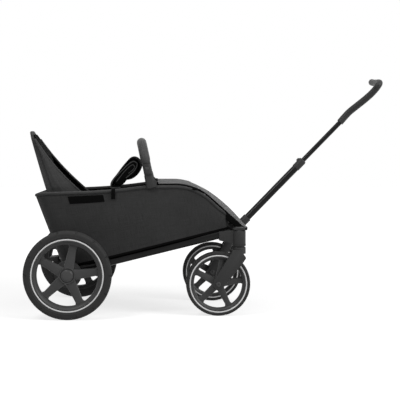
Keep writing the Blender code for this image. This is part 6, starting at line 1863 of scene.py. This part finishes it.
@dataclass
class Seat:
    """The seat cushion and the crotch strap with its buckle."""

    rear_x: float = 0.062
    front_x: float = 0.3
    half: float = 0.178
    gap: float = 0.0003
    thick: float = 0.03
    crown: float = 0.007
    channel: float = 0.005
    shrink: float = 0.004

    def settled(self, point: Vector) -> Vector:
        """Return a swollen point kept in the cushion's space, with the cross channel pressed in."""
        x = clamp(point.x, self.rear_x, self.front_x)
        y = clamp(point.y, -self.half, self.half)
        rise = (x - self.rear_x) / (self.front_x - self.rear_x)
        floor = lining_floor(x) + self.gap
        edge = (1.0 - abs(y / self.half) ** 6) * (1.0 - abs(2.0 * rise - 1.0) ** 6)
        lift = clamp(point.z - floor, 0.0, self.thick + self.crown)
        groove = self.channel * max(0.0, math.cos(4.0 * math.pi * rise)) ** 24 * edge
        groove *= ease(0.5 * self.thick, 0.9 * self.thick, lift)
        return Vector((x, y, floor + lift - groove))

    def cushion(self) -> bpy.types.Object:
        """Make the cushion, swollen from a slightly smaller form with its sides drawn in."""
        def point(rise: float, across: float, top: bool) -> Vector:
            """Return a point of the cushion's upper or lower side."""
            run = 2.0 * rise - 1.0
            x = mix(self.rear_x + self.shrink, self.front_x - self.shrink, rise)
            half = (self.half - self.shrink) * (1.0 - 0.03 * (1.0 - abs(run) ** 4))
            z = lining_floor(x) + self.gap
            if top:
                edge = (1.0 - abs(across) ** 6) * (1.0 - abs(run) ** 6)
                z += (self.thick - self.shrink) * (0.5 + 0.5 * edge)
                z += self.crown * (1.0 - across ** 2) * (1.0 - run ** 2)
            return Vector((x, across * half, z))

        grid = layered([0.5 + 0.5 * share for share in spread(61)], spread(61), point)
        form = plumped(grid, self.settled)
        return form.piece("seat_cushion_cover", LINING_CLOTH, "chassis", ("seat_cushion",), 60.0)

    def build(self) -> None:
        """Make every piece of the seat."""
        self.cushion()
        dressed("crotch_buckle", MATT_MOULD, "chassis", 0.0014, 3)


@dataclass
class LapPad:
    """The pad folded double across the rims: outer leaf, inner fold, tapes and toggle straps."""

    half: float = 0.208
    leaf: float = 0.0088
    outer_line: Profile = (
        (0.176, 0.4475), (0.16, 0.447), (0.146, 0.45), (0.149, 0.462), (0.1615, 0.48),
        (0.178, 0.501), (0.195, 0.5225), (0.2085, 0.5385), (0.218, 0.544), (0.229, 0.5425),
        (0.2385, 0.534), (0.2435, 0.523), (0.244, 0.511), (0.239, 0.499), (0.229, 0.487),
        (0.215, 0.4775), (0.1985, 0.471))
    outer_tape: Profile = (
        (0.177, 0.4425), (0.16, 0.442), (0.143, 0.445), (0.155, 0.4735), (0.17, 0.49),
        (0.1842, 0.5039), (0.1997, 0.5193), (0.2135, 0.53), (0.2238, 0.533), (0.2335, 0.5275),
        (0.2342, 0.5176), (0.2238, 0.5004), (0.2101, 0.488), (0.1963, 0.476))
    core_foot: Profile = (
        (0.194, 0.464), (0.188, 0.456), (0.176, 0.4532), (0.162, 0.4532), (0.156, 0.459))
    core_from: float = 0.467
    inner_tape: Profile = (
        (0.164, 0.464), (0.1756, 0.4798), (0.1928, 0.5004), (0.21, 0.517), (0.221, 0.5215),
        (0.226, 0.513), (0.217, 0.502), (0.205, 0.4925))
    strap_x: float = 0.153
    strap_width: float = 0.012
    strap_drop: float = 0.034

    def sides(self, line: Ring) -> list[Vector]:
        """Return the direction from each point of the fold's line into the fold."""
        padded = [line[0], *line, line[-1]]
        runs = [(after - before).normalized() for before, after in zip(padded, padded[2:])]
        return [Vector((run.z, 0.0, -run.x)) for run in runs]

    def outer_leaf(self, line: Ring) -> bpy.types.Object:
        """Make the outer leaf of padded cloth along its fold, its side edges drawn round."""
        sides = self.sides(line)
        last = len(line) - 1

        def point(i: int, across: float, top: bool) -> Vector:
            """Return a point of the leaf's inner or outer face."""
            end = min(1.0, 0.3 + 0.7 * math.sqrt(min(1.0, min(i, last - i) / 5.0)))
            edge = (1.0 - abs(across) ** 10) ** 0.5
            ripple = 0.0006 * math.sin(7.0 * across + 0.35 * i) * math.cos(4.0 * across)
            deep = 0.5 * self.leaf * max(0.06, edge) * end
            middle = line[i] + LEFT * (across * self.half) - sides[i] * (0.0004 + ripple)
            return middle + sides[i] * (deep if top else -deep)

        form = layered(range(last + 1), spread(49), point)
        return form.piece("lap_pad_outer_leaf", LINING_CLOTH, "chassis", ("lap_pad",), 70.0)

    def inner_fold(self, line: Ring) -> bpy.types.Object:
        """Make the pad's inner layers, drawn in and rounded towards their side edges."""
        reach = self.leaf / 2.0 - 0.0006
        start = min(i for i, p in enumerate(line) if p.z > self.core_from)
        loop = [p + normal * reach for p, normal in zip(line[start:], self.sides(line)[start:])]
        loop = resampled(loop[:-1] + upright(self.core_foot), 72, True)
        middle = sum(loop, Vector()) / len(loop)
        rings = []
        for across in spread(41):
            drawn = 0.95 + 0.05 * (1.0 - abs(across) ** 14) ** 0.5
            shift = LEFT * (across * (self.half - 0.002))
            waves = [0.01 * abs(math.sin(9.0 * across + 0.2 * i)) for i in range(len(loop))]
            rings.append([middle.lerp(p, drawn - wave) + shift for p, wave in zip(loop, waves)])
        return Form.loft(rings).piece("lap_pad_inner_fold", LINING_CLOTH, "chassis", (), 70.0)

    def tape(self, name: str, line: Profile, half: float, radius: float) -> None:
        """Make the grey tape along a leaf's two side edges."""
        form = Form()
        for side in (-1.0, 1.0):
            path = resampled(upright(line, side * half), 90)
            form.add(Form.sweep(path, ellipse(2.0 * radius, 2.6 * radius, 12)))
        form.piece(name, BINDING, "chassis", (), 50.0)

    def strap(self) -> None:
        """Make the toggle straps that hold the pad over the rims."""
        outer = HULL.rim.widest_half + 0.0022
        rim = HULL.rim_height(self.strap_x)
        form = Form()
        run = [(self.half - 0.03, 0.004), (self.half - 0.012, 0.0032),
               (self.half + 0.002, 0.0022), (outer - 0.006, 0.0016), (outer - 0.0012, -0.0016),
               (outer + 0.0002, -0.0075), (outer + 0.0003, -0.018),
               (outer + 0.0002, -self.strap_drop)]

        def section(i: int) -> Profile:
            """Return the strap's section, thicker at its tab."""
            thick = mix(0.0016, 0.003, ease(24, 30, i)) * mix(1.0, 0.5, ease(37, 39, i))
            return ellipse(self.strap_width * (1.0 + 0.12 * ease(26, 34, i)), thick, 20, 0.5)

        for side in (-1.0, 1.0):
            path = resampled([Vector((self.strap_x, side * y, rim + z)) for y, z in run], 40)
            form.add(Form.sweep(path, section, Vector((1.0, 0.0, 0.0))))
        form.piece("lap_toggle_straps", STRAP, "chassis", (), 50.0)

    def build(self) -> None:
        """Make every piece of the lap pad."""
        line = resampled(upright(self.outer_line), 72)
        for item in (self.outer_leaf(line), self.inner_fold(line)):
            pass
        self.tape("lap_tape_outer", self.outer_tape, self.half - 0.0005, 0.0013)
        self.tape("lap_tape_inner", self.inner_tape, self.half - 0.0005, 0.001)
        self.strap()


@dataclass
class Bumper:
    """The lift-out bumper bar with its leatherette sleeve, joints and sockets."""

    base_x: float = 0.282
    half: float = 0.213
    lean: float = math.radians(12.4)
    top_z: float = 0.599
    corner: float = 0.07
    tube: float = 0.0095
    sleeve: float = 0.0165
    socket_top: float = 0.487
    joint_top: float = 0.528
    tenon: float = 0.032
    # Heights of the joints' bands of painted seam shade.
    joint_shade_bands: Profile = ((0.4895, 0.4915), (0.5255, 0.5275))

    def __post_init__(self) -> None:
        """Work out the arch's directions."""
        self.rise = Vector((-math.sin(self.lean), 0.0, math.cos(self.lean)))
        self.forward = Vector((math.cos(self.lean), 0.0, math.sin(self.lean)))

    def point(self, z: float, y: float) -> Vector:
        """Return the arch's middle line at a height on one side."""
        up = z - HULL.rim_height(self.base_x)
        return Vector((self.base_x - up * math.tan(self.lean), y, z))

    def path(self, low_z: float, count: int) -> list[Vector]:
        """Return the arch that the bar follows."""
        top = self.point(self.top_z, 0.0)
        inner = self.half - self.corner
        half = [self.point(low_z, -self.half)]
        for i in range(19):
            angle = math.radians(i * 5.0)
            drop = self.corner * (1.0 - math.sin(angle))
            half.append(top - self.rise * drop - LEFT * (inner + self.corner * math.cos(angle)))
        return even_points(half + [Vector((p.x, -p.y, p.z)) for p in reversed(half)], count)

    def sleeve_form(self) -> Form:
        """Return the sleeve: a hollow padded tube whose ends draw in."""
        path = self.path(self.joint_top + 0.0003, 121)
        outer, inner = [], []
        for i in range(121):
            end = min(i, 120 - i)
            radius = self.sleeve * (1.0 - 0.1 * max(0.0, 1.0 - end / 3.0) ** 2)
            outer.append(ellipse(2.0 * radius, 2.0 * radius, 32))
            inner.append(ellipse(2.0 * self.tube + 0.0006, 2.0 * self.tube + 0.0006, 32))
        out = swept(path, lambda i: outer[i], self.forward)
        back = swept(path, lambda i: inner[i], self.forward)
        return Form.loft(out + list(reversed(back)), True, True)

    def build(self) -> None:
        """Make every piece of the bumper."""
        path = self.path(self.socket_top - self.tenon, 161)
        bar = Form.sweep(path, ellipse(2.0 * self.tube, 2.0 * self.tube, 28), self.forward)
        bar.piece("bumper_bar_tube", FRAME_GLOSS, "bumper", ("bumper_bar",), 40.0)
        sleeve = self.sleeve_form()
        sleeve.piece("bumper_sleeve_cover", GRIP_SKIN, "bumper", ("bumper_sleeve",), 50.0)
        for label, _ in SIDES:
            dressed(f"bumper_joint_{label}", MATT_MOULD, "bumper", 0.0012, 3)
            # Dark bands on each joint paint the shade in its seams.
            for seam in self.joint_shade_bands:
                seam_shade_band(f"bumper_joint_{label}", "bumper", *seam)
            dressed(f"bumper_socket_{label}", MATT_MOULD, "chassis", 0.0012, 3)
            dressed(f"bumper_button_{label}", HUB_CAP, f"bumper_button_{label}", 0.0008, 2)


@dataclass
class PullHandle:
    """The tilting, telescopic pull handle and the bracket that carries it."""

    pivot: tuple[float, float] = (0.597, 0.291)
    rest: float = math.radians(45.7)
    grip_start: float = 0.534
    corner_along: float = 0.726
    crossbar: float = 0.12
    bend: float = 0.022
    lift: float = 0.012
    grip_radius: float = 0.0122
    bore: float = 0.0088
    bore_depth: float = 0.0303
    collar_core: float = 0.0129
    collar_draw: float = 0.45
    pocket_half: float = 0.006
    button_foot: float = 0.0144
    button_draw: float = 0.63

    def __post_init__(self) -> None:
        """Work out the handle's directions."""
        self.ahead = Vector((math.cos(self.rest), 0.0, math.sin(self.rest)))
        self.up = Vector((-math.sin(self.rest), 0.0, math.cos(self.rest)))
        self.foot = Vector((self.pivot[0], 0.0, self.pivot[1]))

    def point(self, along: float, sideways: float = 0.0, lift: float = 0.0) -> Vector:
        """Return the point at a distance up the handle."""
        return self.foot + self.ahead * along + self.up * lift + Vector((0.0, sideways, 0.0))

    def turned(self, name: str, finish: Finish, body: str, node: str, profile: Profile) -> None:
        """Make a hollow piece turned round the handle's line."""
        form = Form.lathe(profile, self.foot, self.ahead, 56, True)
        form.piece(name, finish, body, (node,), 35.0)

    def collar(self) -> None:
        """Make the collar, slim over the outer tube's end, and its low button."""
        form = Form.copy("handle_collar")
        for vert in form.mesh.verts:
            away = vert.co - self.foot
            away -= self.ahead * away.dot(self.ahead)
            if abs(away.y) < self.pocket_half:
                away.y = 0.0
            past = max(0.0, away.length - self.collar_core)
            vert.co -= away.normalized() * past * (1.0 - self.collar_draw)
        form.bevel(0.001, 3).piece("handle_collar_piece", MATT_MOULD, "handle", ("handle_collar",))
        node = "handle_button"
        form = Form.copy(node)
        for vert in form.mesh.verts:
            rise = (vert.co - self.foot).dot(self.up) - self.button_foot
            vert.co -= self.up * rise * (1.0 - self.button_draw)
        form.bevel(0.0008, 2).piece(f"{node}_piece", HUB_CAP, node, (node,))

    def grip_path(self) -> list[Vector]:
        """Return the grip's middle line: a stem that swings aside, and a crossbar."""
        sway = self.crossbar / 2.0
        stem = self.corner_along - self.grip_start
        control = [(0.0, 0.0, 0.0), (0.12, -0.01, 0.0015), (0.26, -0.08, 0.0025),
                   (0.42, -0.27, 0.0), (0.6, -0.52, -0.003), (0.76, -0.75, -0.004),
                   (0.88, -0.91, -0.002)]
        points = [self.point(self.grip_start + stem * a, sway * b, c) for a, b, c in control]
        centre_y = -sway + self.bend - 0.004
        for degrees in (20.0, 45.0, 70.0, 92.0):
            angle = math.radians(degrees)
            along = self.corner_along - self.bend * (1.0 - math.sin(angle)) + 0.002
            y = centre_y - self.bend * math.cos(angle)
            points.append(self.point(along, y, 0.004 * degrees / 92.0))
        points.append(self.point(self.corner_along + 0.003, sway * 0.35, self.lift * 0.65))
        points.append(self.point(self.corner_along + 0.005, sway, self.lift))
        return points

    def grip(self) -> None:
        """Make the padded grip, bored for the inner tube's end."""
        path = resampled(self.grip_path(), 120)
        heading = (path[-1] - path[-2]).normalized()
        radii = [self.grip_radius] * len(path)
        for i in range(1, 9):
            angle = math.radians(90.0 * i / 8.0)
            path.append(path[119] + heading * self.grip_radius * 0.9 * math.sin(angle))
            radii.append(max(0.0004, self.grip_radius * math.cos(angle)))
        form = Form.sweep(path, lambda i: ellipse(2.0 * radii[i], 2.0 * radii[i], 32), self.up)
        bore = Form.rod(self.bore, self.grip_start - 0.02, self.grip_start + self.bore_depth,
                        self.foot, self.ahead, 32)
        form = form.cut(bore)
        form.piece("handle_grip_cover", PULL_SKIN_PAINTED_SHADE, "handle_slider", ("handle_grip",), 45.0)

    def build(self) -> None:
        """Make every piece of the pull handle."""
        dressed("handle_bracket", MATT_MOULD, "chassis", 0.0014, 3)
        dressed("handle_pin", STEEL, "chassis", 0.0004)
        dressed("handle_knuckle", MATT_MOULD, "handle", 0.001, 3)
        self.turned("handle_outer_tube_shell", FRAME_GLOSS, "handle", "handle_outer_tube",
                    [(0.011, 0.026), (0.0125, 0.026), (0.0125, 0.322), (0.011, 0.322)])
        self.turned("handle_inner_tube_shell", FRAME_GLOSS, "handle_slider", "handle_inner_tube",
                    [(0.006, 0.238), (0.0105, 0.238), (0.0105, 0.252), (0.0085, 0.254),
                     (0.0085, 0.564), (0.006, 0.564)])
        self.collar()
        self.grip()


# Studio and camera


@dataclass(frozen=True)
class Lamp:
    """A light's name, power in watts, size, place and target."""

    name: str
    power: float
    size: tuple[float, float]
    place: tuple[float, float, float]
    target: tuple[float, float, float]


LAMPS = (
    Lamp("overhead", 12.0, (2.2, 2.0), (0.1, -0.4, 2.6), (0.0, 0.0, 0.35)),
    Lamp("front_key", 108.0, (2.2, 1.9), (3.25, -2.4, 2.67), (0.1, 0.0, 0.35)),
    Lamp("rear_soft", 20.0, (0.6, 0.9), (-1.3, -1.5, 2.2), (0.1, 0.0, 0.45)))


@dataclass
class Studio:
    """The camera at the photograph's angle, soft lights and a white room."""

    focal: float = 94.86
    sensor: float = 36.0
    shift: float = 0.125
    eye: tuple[float, float, float] = (-0.201503, -3.836, 0.5727)
    floor_half: float = 12.0
    floor_tone: float = 0.45
    shadow_reach: tuple[float, float] = (0.9, 2.4)
    near_glow: float = 0.74
    room_light: float = 0.24

    def camera(self) -> None:
        """Place the camera."""
        data = bpy.data.cameras.new("photo_camera")
        data.sensor_width = self.sensor
        data.lens = self.focal
        data.shift_x = self.shift
        data.shift_y = -self.shift
        data.clip_start = 0.1
        data.clip_end = 60.0
        item = linked("photo_camera", data)
        item.location = self.eye
        item.rotation_euler = (math.radians(90.0), 0.0, 0.0)
        bpy.context.scene.camera = item

    def light(self, lamp: Lamp) -> None:
        """Add one soft rectangular light aimed at a point."""
        data = bpy.data.lights.new(lamp.name, "AREA")
        data.shape = "RECTANGLE"
        data.size, data.size_y = lamp.size
        data.energy = lamp.power
        item = linked(lamp.name, data)
        item.location = lamp.place
        aim = Vector(lamp.target) - Vector(lamp.place)
        item.rotation_euler = aim.to_track_quat("-Z", "Y").to_euler()

    def floor(self) -> None:
        """Add the white floor, which keeps only the object's shadow."""
        form = Form()
        bmesh.ops.create_grid(form.mesh, x_segments=4, y_segments=4, size=self.floor_half)
        item = form.item("studio_floor")
        sheet = ShaderSheet(bpy.data.materials.new("studio_white"))
        place = sheet.node("ShaderNodeNewGeometry", output="Position")
        away = sheet.node("ShaderNodeVectorMath", {"operation": "LENGTH"}, {0: place}, "Value")
        fade = away.ramp(*self.shadow_reach)
        lit = sheet.node("ShaderNodeBsdfDiffuse", None, {"Color": grey(self.floor_tone)})
        strength = sheet.seen() * fade.ramp(0.0, 1.0, self.near_glow, 1.0)
        glow = sheet.node("ShaderNodeEmission", None, {"Color": grey(1.0), "Strength": strength})
        sheet.finish(sheet.node("ShaderNodeAddShader", None, {0: lit, 1: glow}))
        item.data.materials.append(sheet.owner)

    def room(self) -> None:
        """Make the surroundings white to the eye and dimmer as a light."""
        world = bpy.data.worlds.new("studio_room")
        bpy.context.scene.world = world
        sheet = ShaderSheet(world)
        seen = sheet.node("ShaderNodeClamp", None, {"Value": sheet.seen()})
        values = {"Value": seen, "To Min": self.room_light, "To Max": 1.0}
        strength = sheet.node("ShaderNodeMapRange", None, values)
        back = sheet.node("ShaderNodeBackground", None, {"Color": grey(1.0), "Strength": strength})
        sheet.finish(back, "ShaderNodeOutputWorld")

    def build(self) -> None:
        """Set up the camera, lights and room."""
        bpy.context.scene.view_settings.view_transform = "Standard"
        self.camera()
        self.floor()
        self.room()
        for lamp in LAMPS:
            self.light(lamp)


def main() -> None:
    """Build the wagon and its studio."""
    logging.basicConfig(level=logging.INFO, format="%(message)s")
    LowerFrame().build()
    for label, side in SIDES:
        Wheel(REAR_WHEEL, label, side).build()
        Caster(label, side).build()
    Tub().build()
    Hood().build()
    Backrest().build()
    Seat().build()
    LapPad().build()
    Bumper().build()
    PullHandle().build()
    Studio().build()


if __name__ == "__main__":
    main()
